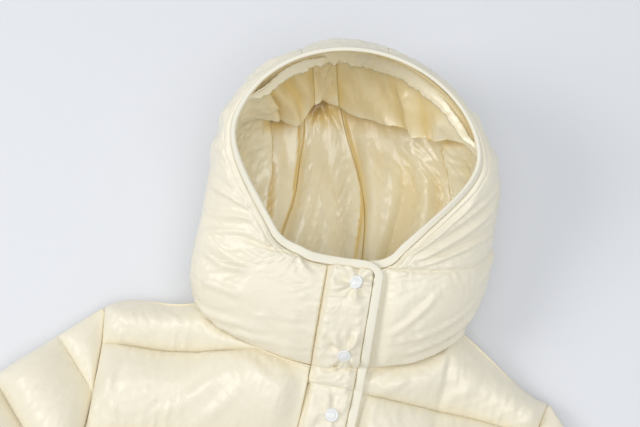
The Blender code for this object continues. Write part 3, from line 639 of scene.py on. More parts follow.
def make_collar():
    columns, rows = 400, 58
    u, v = np.meshgrid(np.linspace(0, 1, columns), crowded(rows))
    top = join_share(collar_angles(u, 0.22))
    share = v * top
    angle = collar_angles(u, share)
    x = tube_point(angle, share)[..., 0]
    full = shell_out(angle, share, 11)
    right = blend(6 * MM * (0.6 + 0.4 * puff(v)), full, smooth((PLACKET_LEFT - x) / (26 * MM)))
    beside = np.maximum(PLACKET_LEFT - x, 0)
    right = right + seam_puckers(up_mm(share), beside, 17, 3.0 * MM, 16 * MM, 10 * MM) * puff(v)
    out = np.where(angle > 270, right, full)
    upper = set_off(angle, share, out)
    neck = tube_point(angle, 0.0)
    turned = np.radians(angle)
    lean = smooth((np.abs(np.sin(turned)) - 0.26) / 0.3)
    spread = np.stack((np.sin(turned) * lean, np.zeros_like(lean), np.cos(turned)), -1)
    upper = blend(neck + spread * out[..., None], upper, smooth(v / 0.12)[..., None])
    lower = set_off(angle, share, -SHELL_IN + 0 * angle)
    upper[..., 2] = np.maximum(upper[..., 2], 0.3 * MM)
    piece = wall("collar_cloth", upper, lower, SHELL, INSIDE, seams=("first", "left", "right"))
    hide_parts("collar")
    return piece


def side_angles(side, u, share, inset=0.3 * MM):
    end = tube_angle(STRIP_HALF + inset, share, back=True)
    angle = blend(24.0, end, u)
    return angle if side > 0 else 360 - angle


def strip_angles(u, share):
    return tube_angle(blend(STRIP_HALF, -STRIP_HALF, u), share, back=True)


HOOD_ROWS = 96


def make_hood_shell():
    panels = (
        ("hood_side_left", lambda u, s: side_angles(1, u, s), 205),
        ("hood_side_right", lambda u, s: side_angles(-1, u, s), 205),
        ("hood_centre", strip_angles, 60),
    )
    for node, angles, columns in panels:
        u, v = np.meshgrid(crowded(columns), crowded(HOOD_ROWS))
        share = blend(join_share(angles(u, 0.3)), 1.0, v)
        angle = angles(u, share)
        edge = np.clip(np.minimum(u, 1 - u) * columns / 230 * 9, 0, 1)
        out = shell_out(angle, share, 11) - 1.3 * MM * (1 - np.sqrt(edge)) * (np.cos(np.radians(angle)) < 0.6)
        upper, lower = set_off(angle, share, out), set_off(angle, share, -SHELL_IN + 0 * angle)
        piece = wall(node + "_cloth", upper, lower, SHELL, seams=())
        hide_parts(node)


LINING_CREASES = [Crease(*row) for row in (
    # long folds over the back, from under the crown to the neck
    (172, 0.54, 163, 0.02, 9, 6.0),
    (164, 0.46, 161, 0.04, 7, 5.0),
    (153, 0.44, 157, 0.04, 13, -7.0),
    (143, 0.52, 147, 0.06, 12, 7.5),
    (134, 0.50, 130, 0.10, 9, 5.0),
    (196, 0.50, 201, 0.10, 9, 4.5),
    (186, 0.44, 180, 0.06, 8, -3.0),
    (214, 0.54, 215, 0.14, 8, 3.5),
    (236, 0.60, 238, 0.24, 12, 4.0),
    (252, 0.78, 256, 0.40, 12, 4.0),
    # folds of the crown, below the drawn elastic
    (217, 0.84, 208, 0.60, 8, 7.0),
    (204, 0.84, 199, 0.64, 7, 6.0),
    (190, 0.82, 188, 0.60, 6, 5.0),
    (183, 0.62, 148, 0.66, 6, 4.0),
    (178, 0.69, 160, 0.68, 6, 2.5),
    (150, 0.78, 136, 0.62, 9, 7.0),
    (128, 0.82, 120, 0.70, 9, 4.0),
    (108, 0.84, 104, 0.56, 10, 4.0),
    (86, 0.80, 88, 0.56, 10, 3.5),
    (276, 0.84, 272, 0.56, 10, 3.5),
    (290, 0.80, 286, 0.60, 9, 3.0),
)]
Lip = namedtuple("Lip", "angle share hang")  # where the crown's lining hangs over the back, hang in mm
CROWN_LIP = [Lip(*row) for row in (
    (92, 0.94, 0),
    (104, 0.90, 6),
    (112, 0.86, 11),
    (120, 0.78, 17),
    (128, 0.71, 22),
    (138, 0.665, 25),
    (147, 0.64, 26),
    (158, 0.61, 26),
    (175, 0.595, 23),
    (184, 0.60, 14),
    (190, 0.605, 8),
    (197, 0.625, 17),
    (206, 0.625, 25),
    (213, 0.645, 23),
    (219, 0.685, 15),
    (228, 0.74, 5),
    (240, 0.80, 0),
)]
Overlap = namedtuple("Overlap", "angle share angle_end share_end over under high")
LINING_OVERLAPS = (
    # the side walls stand before the back, with a sharp step between
    Overlap(222, 0.95, 219, 0.06, 26, 2.0, 17),
    Overlap(131, 0.74, 124, 0.26, -22, 2.0, 11),
    # the edges of the gusset where it tucks under the crown
    Overlap(200, 0.60, 210, 0.12, 12, 2.0, 4.5),
    Overlap(181, 0.58, 171, 0.04, 12, 2.0, 5.0),
)
PINCH = (190, 0.575)  # angle and share of the tuck in the crown
Seam = namedtuple("Seam", "share middle half")  # the gusset's middle and half width, in mm
LINING_SEAM = (
    Seam(0.00, -25, 52),
    Seam(0.20, -25, 46),
    Seam(0.38, -24, 33),
    Seam(0.52, -23, 22),
    Seam(0.66, -22, 15),
    Seam(0.80, -21, 14),
    Seam(1.00, -18, 20),
)
Line = namedtuple("Line", "angle share")
ELASTIC = [Line(*row) for row in (
    (58, 0.97),
    (96, 0.965),
    (106, 0.935),
    (116, 0.885),
    (130, 0.835),
    (145, 0.80),
    (157, 0.78),
    (174, 0.77),
    (184, 0.82),
    (194, 0.865),
    (208, 0.88),
    (220, 0.90),
    (230, 0.94),
    (240, 0.965),
    (302, 0.97),
)]


def overlaps(angle, share):
    """Height of folds that lie over what is beside them, and how far each place is under one."""
    u, v = around_mm(angle), up_mm(share)
    total = np.zeros(np.shape(u))
    under = np.zeros(np.shape(u))
    for row in LINING_OVERLAPS:
        start = (around_mm(row.angle), up_mm(row.share))
        along, across = beside_line(u, v, start, (around_mm(row.angle_end), up_mm(row.share_end)))
        across = across + 2 * MM * np.sin(along * 7 + row.angle)
        across = across * (1 if row.over > 0 else -1)
        soft = bell(across, abs(row.over) * MM)
        sharp = bell(across, row.under * MM)
        fade = smooth(along / 0.18) * smooth((1 - along) / 0.3)
        total += row.high * MM * np.where(across > 0, soft, sharp) * fade
        reach = (3 + 0.2 * row.high) * MM
        under = np.maximum(under, bell(across, reach) * (across < 1 * MM) * fade)
    return total, under


def pinch(along, up):
    """A small deep tuck with short folds running into it."""
    du, dv = along - around_mm(PINCH[0]), up - up_mm(PINCH[1])
    reach = np.hypot(du, dv)
    spokes = np.cos(5 * np.arctan2(dv, du) + 0.6) * bell(reach - 13 * MM, 9 * MM)
    return 2.5 * MM * spokes - 15 * MM * bell(reach, 5 * MM)


def hollows(depth, reach=9):
    """Where a surface lies back from what is beside it, from 0 to 1."""
    window = np.ones(2 * reach + 1)
    weight = np.convolve(np.ones(depth.shape[1]), window, "same")
    level = np.array([np.convolve(row, window, "same") for row in depth]) / weight
    return np.clip((level - depth) / (4 * MM), 0, 1)


LEAST_DEPTH = 3.5 * MM  # the lining never lies nearer to the seam surface
SEWN_DEPTH = 2.9 * MM  # except towards the elastic, where it is sewn down


def lining_surface(angle, share, across, seed):
    """Both faces of the lining, and its painted shade: deeper in hollows and in listed places."""
    lip, hang = np.moveaxis(read_table(CROWN_LIP, angle), -1, 0)
    hang = np.clip(hang, 0, None) * MM * smooth((elastic_share(angle) + 0.02 - share) / 0.07)
    past = share - lip + 0.008 * ripple(around_mm(angle), 0 * share, 91, 22 * MM)
    above = bell(past, 0.12)
    below = bell(past, 0.012)
    along, up = around_mm(angle), up_mm(share)
    folded, under = overlaps(angle, share)
    depth = WALL_IN + creases(angle, share, LINING_CREASES) + folded + pinch(along, up)
    depth = depth + hang * np.where(past > 0, above, below)
    depth = depth - 3.0 * MM * bell(past + 0.07, 0.05) * (hang > 6 * MM)
    depth = depth + crumple(along, up, seed, 2.3 * MM, 44 * MM) * across
    crown = smooth(hang / (14 * MM))
    # painted shade: the crown's ceiling above the lip darker, and painted shadow under the lip
    ceiling_shade = 0.55 * smooth(past / 0.05) * smooth((angle - 122) / 14)
    shadow = np.where(past > 0, ceiling_shade, smooth((0.13 + past) / 0.07)) * crown
    # painted shadow just beneath the lip, and painted shade in the tuck
    shade_beneath_lip = 0.75 * bell(past + 0.06, 0.025) * crown * smooth((angle - 184) / 8)
    tuck = bell(np.hypot(along - around_mm(PINCH[0]), up - up_mm(PINCH[1])), 9 * MM)
    # painted shade: deeper colour in hollows and under the folds that lie over others, added to the shading
    # above
    deep = np.clip(0.48 * hollows(depth, 7) + shadow + 0.9 * under + tuck, 0, 1)
    deep = deep + tuck**2 + 0.3 * under**6 + shade_beneath_lip
    drop = 2.7 * hang * bell(past - 0.016, 0.03)
    share = np.clip(share - drop, 0, 1)
    depth = np.maximum(depth, LEAST_DEPTH)
    sewn = smooth((share - elastic_share(angle) + 0.09) / 0.09) * (1 - drawn_up(angle))
    depth = blend(depth, SEWN_DEPTH, sewn)
    return set_off(angle, share, LINING - depth, 2 * MM), set_off(angle, share, -depth, 2 * MM), deep


def gusset_angle(share, sign):
    middle, half = np.moveaxis(read_table(LINING_SEAM, share), -1, 0)
    return tube_angle((middle + sign * half) * MM, share, back=True)


LINING_ROWS = 124


def make_lining():
    panels = (
        ("left", 150, 31, lambda share: 24.0, lambda share: gusset_angle(share, 1) - 0.1),
        ("right", 150, 34, lambda share: gusset_angle(share, -1) + 0.1, lambda share: 336.0),
        ("centre", 60, 37, lambda share: gusset_angle(share, 1), lambda share: gusset_angle(share, -1)),
    )
    for side, columns, seed, start, end in panels:
        u, v = np.meshgrid(np.linspace(0, 1, columns), np.linspace(0, 1, LINING_ROWS))
        angle = blend(start(0.3), end(0.3), u)
        turned = np.abs(from_front(angle))
        bottom = blend(join_share(angle) - 0.01, 0.05, smooth((turned - 50) / 40))
        share = blend(bottom, elastic_share(angle) + 0.03, v)
        angle = blend(start(share), end(share), u)
        across = np.clip(np.minimum(u, 1 - u) * 9, 0, 1)
        upper, lower, deep = lining_surface(angle, share, across, seed)
        name = f"hood_lining_{side}_cloth"
        piece = wall(name, upper, lower, INSIDE, seams=("left", "right"), deep=deep)
        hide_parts(f"hood_lining_{side}")


def elastic_share(angle):
    return read_table(ELASTIC, angle)[..., 0]


def drawn_up(angle):
    """Where the elastic gathers the crown, from 1 to 0 at both sides."""
    return smooth((angle - 98) / 14) * smooth((236 - angle) / 14)


FACING_COLUMNS = 820  # enough for the small gathers along the elastic
FACING_ROWS = 28
FACING_FROM = 58.0  # angles of the facing's two ends
FACING_TO = 302.0


def make_facing():
    """The strip inside the opening, gathered on its drawn elastic."""
    u, v = np.meshgrid(np.linspace(0, 1, FACING_COLUMNS), np.linspace(0, 1, FACING_ROWS))
    angle = blend(FACING_FROM, FACING_TO, u)
    share = blend(elastic_share(angle), 0.992, v)
    along = around_mm(angle)
    gather = 0.9 * ripple(along, v * 0.012, 41, 6 * MM) + 0.5 * ripple(along, v * 0.012, 42, 3 * MM)
    gather = gather * (0.6 + 0.6 * ripple(along, 0 * v, 44, 40 * MM))
    tucked = smooth((0.14 - v) / 0.14)
    drawn = drawn_up(angle)
    ridge = bell(v - 0.16, 0.08) * drawn
    depth = 4.2 * MM + 14 * MM * ridge * (1 + 0.10 * gather) + 1.3 * MM * gather * bell(v, 0.5)
    depth = depth + 1.6 * MM * ripple(along, up_mm(share), 43, 30 * MM) * (1 - v)
    # painted shade: deeper colour in the hollows between the gathers and over the recessed band between the
    # elastic and the binding
    deep = 0.8 * hollows(depth, 4) + 1.2 * smooth((v - 0.25) / 0.12) * drawn
    depth = np.maximum(depth, 3.0 * MM) - 1.2 * MM * smooth((v - 0.7) / 0.3)
    share = share - 0.003 * ridge * gather + 0.02 * tucked * drawn
    upper = set_off(angle, share, -depth)
    lower = set_off(angle, share, -depth + LINING)
    piece = wall("hood_facing_cloth", lower, upper, INSIDE, seams=(), deep=np.clip(deep, 0, 1.25))
    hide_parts("hood_facing")


# ---------------------------------------------------------------- body


def side_x(y):
    return read_table(SIDE, np.asarray(y) / MM)[..., 0] * MM


def top_y(column, back):
    x = np.abs(column)
    angle = np.degrees(np.arcsin(np.clip(x / NECK_SIDE, 0, 1)))
    inside = tube_point(180 - angle if back else angle, 0.0)[..., 1]
    share = (x - NECK_SIDE) / (TIP[0] - NECK_SIDE)
    turned = -np.sign(column) * SHOULDER_TURN * np.sin(np.pi * np.clip(share, 0, 1)) ** 0.7
    return np.where(x <= NECK_SIDE, inside, blend(tube_point(90, 0.0)[1], TIP[1], share) + turned)


def top_z(column, back):
    x = np.abs(column)
    angle = np.degrees(np.arcsin(np.clip(x / NECK_SIDE, 0, 1)))
    inside = tube_point(180 - angle if back else angle, 0.0)[..., 2]
    share = (x - NECK_SIDE) / (TIP[0] - NECK_SIDE)
    return np.where(x <= NECK_SIDE, inside, blend(tube_point(90, 0.0)[2], SIDE_SEAM_Z, smooth(share)))


def body_x(column, y):
    share = np.abs(column) / TIP[0]
    return column + np.sign(column) * share**2 * (side_x(y) - TIP[0])


def round_edge(distance):
    near = np.clip(distance / ROUND, 0, 1)
    return np.sqrt(np.maximum(0.0, 1 - (1 - near) ** 2))


def line_heights():
    return [HEM_Y] + [LINE_1 - PITCH * k for k in range(CHANNELS - 2, -1, -1)]


def body_grid(columns, back, fine, coarse):
    """y of every point, which share of its channel it lies at, and how high that channel is."""
    lines = line_heights()
    y_rows, share_rows, size_rows = [], [], []
    for k, (low, high) in enumerate(zip(lines, lines[1:])):
        count = fine if k >= len(lines) - 3 else coarse
        for t in crowded(count + 1)[:-1]:
            y_rows.append(np.full(len(columns), blend(low, high, t)))
            share_rows.append(np.full(len(columns), t))
            size_rows.append(np.full(len(columns), high - low))
    top = top_y(columns, back)
    for t in crowded(fine + 1):
        y_rows.append(blend(LINE_1, top, t))
        share_rows.append(np.full(len(columns), t))
        size_rows.append(top - LINE_1)
    return np.array(y_rows), np.array(share_rows), np.array(size_rows)


def edge_rise(column, y, back):
    x = np.abs(body_x(column, y))
    return round_edge(np.minimum(np.minimum(side_x(y) - x, top_y(column, back) - y), y - HEM_Y))


def edge_height(column, y, back):
    hem_share = smooth((y - HEM_Y) / PITCH)
    side = SIDE_SEAM_Z + (0 if back else EDGE + 0.3 * MM)
    low = blend(HEM_BACK_Z if back else HEM_FRONT_Z, side, hem_share)
    rise = smooth((y - (LINE_1 - PITCH)) / (top_y(column, back) - (LINE_1 - PITCH)))
    lift = 0 if back else np.where(np.abs(column) < NECK_SIDE - 1 * MM, 0, EDGE)
    return blend(low, top_z(column, back) + lift, rise)


def quilt_of(share):
    return np.clip(np.sin(np.pi * np.clip(share, 0, 1)), 0, 1) ** 0.6


def front_base(column, y, share):
    """Height of the front panels' inner face."""
    lift = (y - (LINE_1 - PITCH)) / (top_y(column, False) - (LINE_1 - PITCH))
    lifted = np.maximum(0.0, top_z(column, False) - 27 * MM) * smooth(lift)
    return BACK_LINE + BACK_PUFF * quilt_of(share) + LAYER_GAP + lifted


def front_puckers(x, share, size, seed):
    """The small folds that run from the quilting lines into the padding."""
    low = seam_puckers(x, share * size, seed, 2.6 * MM, 15 * MM, 14 * MM)
    high = seam_puckers(x, (1 - share) * size, seed + 9, 2.6 * MM, 15 * MM, 14 * MM)
    return low + high


RIGHT_RISE = 38 * MM  # how far the right front's upper quilting lines climb towards the placket


def climb(columns, y, share, size):
    """The rows of a grid moved up, more towards the placket and not at the hem."""
    lift = RIGHT_RISE * (1 - np.abs(columns) / TIP[0]) + 0 * y
    top = top_y(columns, False) + 0 * y
    low, high = y - share * size, y + (1 - share) * size
    moved = []
    for line in (low, high):
        raised = line + lift * smooth((line - HEM_Y) / (350 * MM))
        moved.append(np.where(line > top - 1 * MM, top, np.minimum(raised, top - 3 * MM)))
    return blend(moved[0], moved[1], share), moved[1] - moved[0]


FRONT_CREASES = [Crease(*row) for row in (
    # the right front, x and y in mm
    (-158, -92, -98, -24, 7, 2.4),
    (-108, -84, -76, -34, 6, 2.0),
    (-205, -30, -226, -104, 7, 3.0),
    (-192, -98, -214, -44, 6, 2.2),
    (-232, 6, -206, -12, 6, 2.2),
    (-84, -2, -36, -30, 6, 1.8),
    (-212, -116, -150, -186, 8, 2.6),
    (-120, -206, -62, -150, 8, 2.2),
    (-228, -262, -170, -236, 8, 2.4),
    (-140, -356, -66, -322, 9, 2.2),
    (-236, -420, -182, -386, 8, 2.4),
    (-118, -500, -52, -470, 9, 2.2),
    # the left front
    (52, -30, 96, 4, 6, 2.4),
    (86, -66, 168, -22, 8, 2.4),
    (120, -18, 176, 18, 7, 1.8),
    (222, -34, 204, -96, 7, 3.0),
    (232, 4, 212, -26, 6, 2.4),
    (60, -160, 128, -128, 8, 2.4),
    (150, -204, 216, -150, 8, 2.4),
    (72, -300, 146, -276, 9, 2.2),
    (176, -352, 234, -312, 8, 2.4),
    (64, -446, 120, -398, 9, 2.2),
    (168, -520, 226, -478, 8, 2.2),
)]


def panel_edges(columns, y, back):
    """Each point's column and x, how far it has risen from the panel's edge, and the edge's height there."""
    column = np.broadcast_to(columns, y.shape)
    return column, body_x(column, y), edge_rise(column, y, back), edge_height(column, y, back)


def make_front(name, node, columns, right, seed):
    columns = np.asarray(columns, float)
    y, share, size = body_grid(columns, False, 38, 12)
    if right:
        y, size = climb(columns, y, share, size)
    column, x, rise, seam = panel_edges(columns, y, False)
    base = front_base(column, y, share)
    quilted = quilt_of(share)
    full = FRONT_LINE + (np.minimum(FRONT_PUFF + 2 * MM, 0.30 * size) - 0.4 * FRONT_LINE) * quilted
    if right:
        near = smooth((PLACKET_LEFT - column) / (30 * MM))
        thick = blend(9 * MM, full, near)
    else:
        near = near_placket(column)
        thick = blend(6 * MM, full, near)
    folds = front_puckers(x, share, size, seed) + crumple(x, y, seed + 4, 2.3 * MM, 62 * MM) * quilted
    folds = folds + seam_puckers(y, TIP[0] - np.abs(column), seed + 12, 2.2 * MM, 14 * MM, 12 * MM)
    if right:
        beside = np.maximum(PLACKET_LEFT - column, 0)
        folds = folds + seam_puckers(y, beside, seed + 15, 2.8 * MM, 14 * MM, 11 * MM)
    placed = fold_lines(x, y, FRONT_CREASES, lambda a, b: (a * MM, b * MM))
    folds = folds + placed * np.minimum(1, quilted + 0.2)
    thick = thick + folds * near
    upper = np.stack((x, y, blend(seam + EDGE / 2, base + thick, rise)), -1)
    lower = np.stack((x, y, blend(seam - EDGE / 2, base, rise)), -1)
    lower[..., 2] = np.minimum(lower[..., 2], upper[..., 2] - 1 * MM)
    piece = wall(name, upper, lower, SHELL)
    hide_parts(node)


def make_body():
    hidden = np.linspace(UNDERLAP_END, PLACKET_RIGHT, 12)[:-1]
    left = np.concatenate((hidden, np.linspace(PLACKET_RIGHT, TIP[0], 100)))
    make_front("front_left_cloth", "front_left", left, False, 51)
    right = -np.linspace(-(PLACKET_LEFT - 0.3 * MM), TIP[0], 116)
    make_front("front_right_cloth", "front_right", right, True, 61)
    columns = np.linspace(-TIP[0], TIP[0], 110)
    y, share, _ = body_grid(columns, True, 14, 12)
    _, x, rise, seam = panel_edges(columns, y, True)
    high = BACK_LINE + BACK_PUFF * quilt_of(share)
    upper = np.stack((x, y, blend(seam + EDGE / 2, high, rise)), -1)
    lower = np.stack((x, y, np.maximum(0.0, blend(seam - EDGE / 2, 0.0, rise))), -1)
    piece = wall("back_cloth", upper, lower, SHELL)
    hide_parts("back")


def body_snaps():
    return [SNAP_BODY_FIRST - SNAP_PITCH * k for k in range(SNAP_BODY_COUNT)]


FRONT_UP = 100 * MM  # length of the collar's front


def collar_snaps():
    return [share * FRONT_UP for share in SNAP_COLLAR]


def collar_placket_point(x, share, lift):
    angle = tube_angle(x, share)
    high = UNDER_PLACKET + 0.3 * MM + placket_height(x, share * FRONT_UP, collar_snaps(), 71) * lift
    point = set_off(angle, share, high)
    neck = tube_point(angle, 0.0) + np.array((0, 0, 1.0)) * high[..., None]
    return blend(neck, point, smooth(share / 0.12)[..., None])


def front_surface(x, y, share):
    base = front_base(x, y, share)
    return blend(edge_height(x, y, False) + EDGE / 2, base + 6 * MM, edge_rise(x, y, False)) + 0.3 * MM


def body_placket_point(x, y, share, lift):
    z = front_surface(x, y, share) + placket_height(x, y, body_snaps(), 72) * lift
    return np.stack((x, y, z), -1)


def make_plackets():
    x, share = np.meshgrid(np.linspace(PLACKET_LEFT, PLACKET_RIGHT, 40), np.linspace(0, 1, 84))
    corner = 10 * MM
    drop = np.clip(x - (PLACKET_RIGHT - corner), 0, corner)
    share = share * (1 - (corner - np.sqrt(np.maximum(corner**2 - drop**2, 0))) / FRONT_UP)
    upper = collar_placket_point(x, share, 1.0)
    lower = collar_placket_point(x, share, 0.0)
    piece = wall("collar_placket_cloth", upper, lower, SHELL)
    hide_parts("placket_collar")
    columns = np.linspace(PLACKET_LEFT, PLACKET_RIGHT, 36)
    y, share, _ = body_grid(columns, False, 24, 24)
    x = np.broadcast_to(columns, y.shape)
    upper = body_placket_point(x, y, share, 1.0)
    lower = body_placket_point(x, y, share, 0.0)
    piece = wall("body_placket_cloth", upper, lower, SHELL)
    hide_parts("placket_body")


# ---------------------------------------------------------------- sleeves


def sleeve_frame(side):
    along = np.array((side * math.cos(SLEEVE_SLOPE), -math.sin(SLEEVE_SLOPE)))
    across = np.array((-side * math.sin(SLEEVE_SLOPE), -math.cos(SLEEVE_SLOPE)))
    return along, across


def armpit_place():
    along, across = sleeve_frame(1)
    reach = np.array((float(side_x(ARMPIT_Y)), ARMPIT_Y)) - TIP
    return float(reach @ along), float(reach @ across)


def sleeve_width(distance):
    """Width across the sleeve: to the armhole near the shoulder, then to the under seam."""
    along, across = sleeve_frame(1)
    pit_along, pit_across = armpit_place()
    if distance >= pit_along:
        return blend(pit_across, 2 * CUFF_HALF, (distance - pit_along) / (SLEEVE_LENGTH - pit_along))
    low, high = 0.0, pit_across
    for _ in range(24):
        middle = (low + high) / 2
        x, y = TIP + along * distance + across * middle
        if x > float(side_x(y)) and y > ARMPIT_Y:
            low = middle
        else:
            high = middle
    return low


def sleeve_rows(count):
    """Distances along the sleeve, with the share of the channel each lies at and the channel's size."""
    pitch = (armpit_place()[0] - SLEEVE_LINE_1) / 2
    lines = [3 * MM, SLEEVE_LINE_1]
    while lines[-1] + 1.4 * pitch < SLEEVE_LENGTH:
        lines.append(lines[-1] + pitch)
    lines.append(SLEEVE_LENGTH)
    rows = []
    for low, high in zip(lines, lines[1:]):
        rows += [(blend(low, high, t), t, high - low) for t in crowded(count + 1)[:-1]]
    return rows + [(SLEEVE_LENGTH, 1.0, lines[-1] - lines[-2])]


SLEEVE_COLUMNS = 72
SLEEVE_CHANNEL_ROWS = 17


def make_sleeves():
    shares = crowded(SLEEVE_COLUMNS)
    rows = sleeve_rows(SLEEVE_CHANNEL_ROWS)
    distance = np.array([row[0] for row in rows])[:, None] + 0 * shares
    channel = np.array([row[1] for row in rows])[:, None] + 0 * shares
    size = np.array([row[2] for row in rows])[:, None] + 0 * shares
    width = np.array([sleeve_width(row[0]) for row in rows])[:, None] + 0 * shares
    reach = shares * width
    rise = round_edge(np.minimum(np.minimum(reach, width - reach), SLEEVE_LENGTH - distance))
    cuff = smooth((distance - (SLEEVE_LENGTH - PITCH)) / PITCH)
    low_seam = blend(SIDE_SEAM_Z, HEM_BACK_Z, cuff)
    high_seam = blend(SIDE_SEAM_Z + EDGE + 0.3 * MM, HEM_FRONT_Z, cuff)
    slim = np.minimum(1.0, width / (120 * MM))
    quilted = quilt_of(channel)
    middle = BACK_LINE + BACK_PUFF * quilted * slim
    for side, name in ((-1, "right"), (1, "left")):
        along, across = sleeve_frame(side)
        tip = TIP * (side, 1)
        x = tip[0] + along[0] * distance + across[0] * reach
        y = tip[1] + along[1] * distance + across[1] * reach
        under_high = blend(low_seam + EDGE / 2, middle, rise)
        under_low = np.maximum(0.0, blend(low_seam - EDGE / 2, 0.0, rise))
        seed = 81 + side * 4
        folds = seam_puckers(reach, channel * size, seed, 2.6 * MM, 20 * MM, 13 * MM)
        folds = folds + seam_puckers(reach, (1 - channel) * size, seed + 1, 2.6 * MM, 20 * MM, 13 * MM)
        folds = folds + seam_puckers(distance, reach, seed + 2, 2.4 * MM, 24 * MM, 14 * MM)
        folds = folds + crumple(reach, distance, seed + 3, 2.6 * MM, 48 * MM) * quilted
        top = middle + LAYER_GAP + FRONT_LINE * 0.6 + ((FRONT_PUFF + 2 * MM) * quilted + folds) * slim
        top_high = blend(high_seam + EDGE / 2, top, rise)
        top_low = blend(high_seam - EDGE / 2, middle + LAYER_GAP, rise)
        top_low = np.minimum(top_low, top_high - 1 * MM)
        for part, high, low in (("under", under_high, under_low), ("top", top_high, top_low)):
            upper, lower = np.stack((x, y, high), -1), np.stack((x, y, low), -1)
            piece = wall(f"sleeve_{part}_{name}_cloth", upper, lower, SHELL)
            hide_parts(f"sleeve_{part}_{name}")


# ---------------------------------------------------------------- bands and binding


def ring_section(centre, wide, thick, count=14, square=0.62):
    """A rounded oblong of points about a centre: wide and thick are its half axes."""
    points = []
    for k in range(count):
        turn = 2 * math.pi * k / count
        c, s = math.cos(turn), math.sin(turn)
        along_wide = wide * math.copysign(abs(c) ** square, c)
        points.append(centre + along_wide + thick * math.copysign(abs(s) ** square, s))
    return points


def sweep(name, sections, material, closed=False):
    sections = np.asarray(sections, float)
    count, around = sections.shape[:2]
    faces = []
    for i in range(count if closed else count - 1):
        after = (i + 1) % count
        for k in range(around):
            j = (k + 1) % around
            faces.append((i * around + k, i * around + j, after * around + j, after * around + k))
    if not closed:
        faces.append(tuple(range(around - 1, -1, -1)))
        faces.append(tuple((count - 1) * around + k for k in range(around)))
    piece = new_piece(name, sections.reshape(-1, 3), faces, material)
    face_outwards(piece)
    return piece


BAND_MIDDLE = (HEM_BACK_Z + HEM_FRONT_Z) / 2
BAND_RADIUS = (HEM_FRONT_Z - HEM_BACK_Z) / 2


def make_cuffs():
    for side, name in ((-1, "right"), (1, "left")):
        along, across = sleeve_frame(side)
        end = TIP * (side, 1) + along * SLEEVE_LENGTH + across * CUFF_HALF
        sections = []
        for flat, out_w, out_z in band_path(CUFF_HALF, 16, 90):
            x, y = end + along * (CUFF_WIDE / 2) + across * (flat + out_w * BAND_RADIUS)
            gather = 0.8 * MM * float(ripple(flat, out_z * 5 * MM, 3 + side, 7 * MM))
            centre = np.array((x, y, BAND_MIDDLE + out_z * (BAND_RADIUS + gather)))
            wide = np.array((*along, 0.0)) * CUFF_WIDE / 2
            thick = np.array((*(across * out_w), out_z)) * TAPE_THICK / 2
            sections.append(ring_section(centre, wide, thick))
        piece = sweep(f"cuff_{name}_cloth", sections, SHELL, closed=True)
        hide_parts(f"cuff_{name}")


def band_path(half, turns, flats):
    """Round a flattened band: place across, and the direction outwards."""
    path = []
    for side in (1, -1):
        for k in range(turns + 1):
            turn = math.pi * (side / 2 - k / turns)
            path.append((side * half, math.cos(turn), math.sin(turn)))
        step = 2 * half / flats
        path += [(side * (half - step * k), 0.0, -side * 1.0) for k in range(1, flats)]
    return path


def make_hem():
    half = float(side_x(HEM_Y)) - 3 * MM
    loop = band_path(half, 16, 120)
    path = [(UNDERLAP_END, 0.0, 1.0)]
    path += sorted({row for row in loop if row[2] == 1.0 and row[0] > UNDERLAP_END + 1 * MM})
    path += [row for row in loop if row[2] != 1.0 and row[0] > half - 1 * MM]
    path += sorted({row for row in loop if row[2] == -1.0 and abs(row[0]) < half - 1 * MM}, reverse=True)
    path += [row for row in loop if row[2] != 1.0 and row[0] < -half + 1 * MM]
    path += sorted({row for row in loop if row[2] == 1.0 and row[0] < PLACKET_LEFT - 2 * MM})
    path += [(PLACKET_LEFT - 0.3 * MM, 0.0, 1.0)]
    sections = []
    for x, out_x, out_z in path:
        reach = BAND_RADIUS + 0.5 * MM * float(ripple(x, out_z * 5 * MM, 5, 8 * MM))
        centre = np.array((x + out_x * reach, HEM_Y - TAPE_WIDE / 2, BAND_MIDDLE + out_z * reach))
        wide = np.array((0, TAPE_WIDE / 2, 0))
        thick = np.array((out_x, 0, out_z)) * TAPE_THICK / 2
        sections.append(ring_section(centre, wide, thick))
    piece = sweep("hem_tape_cloth", sections, SHELL)
    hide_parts("hem_tape")


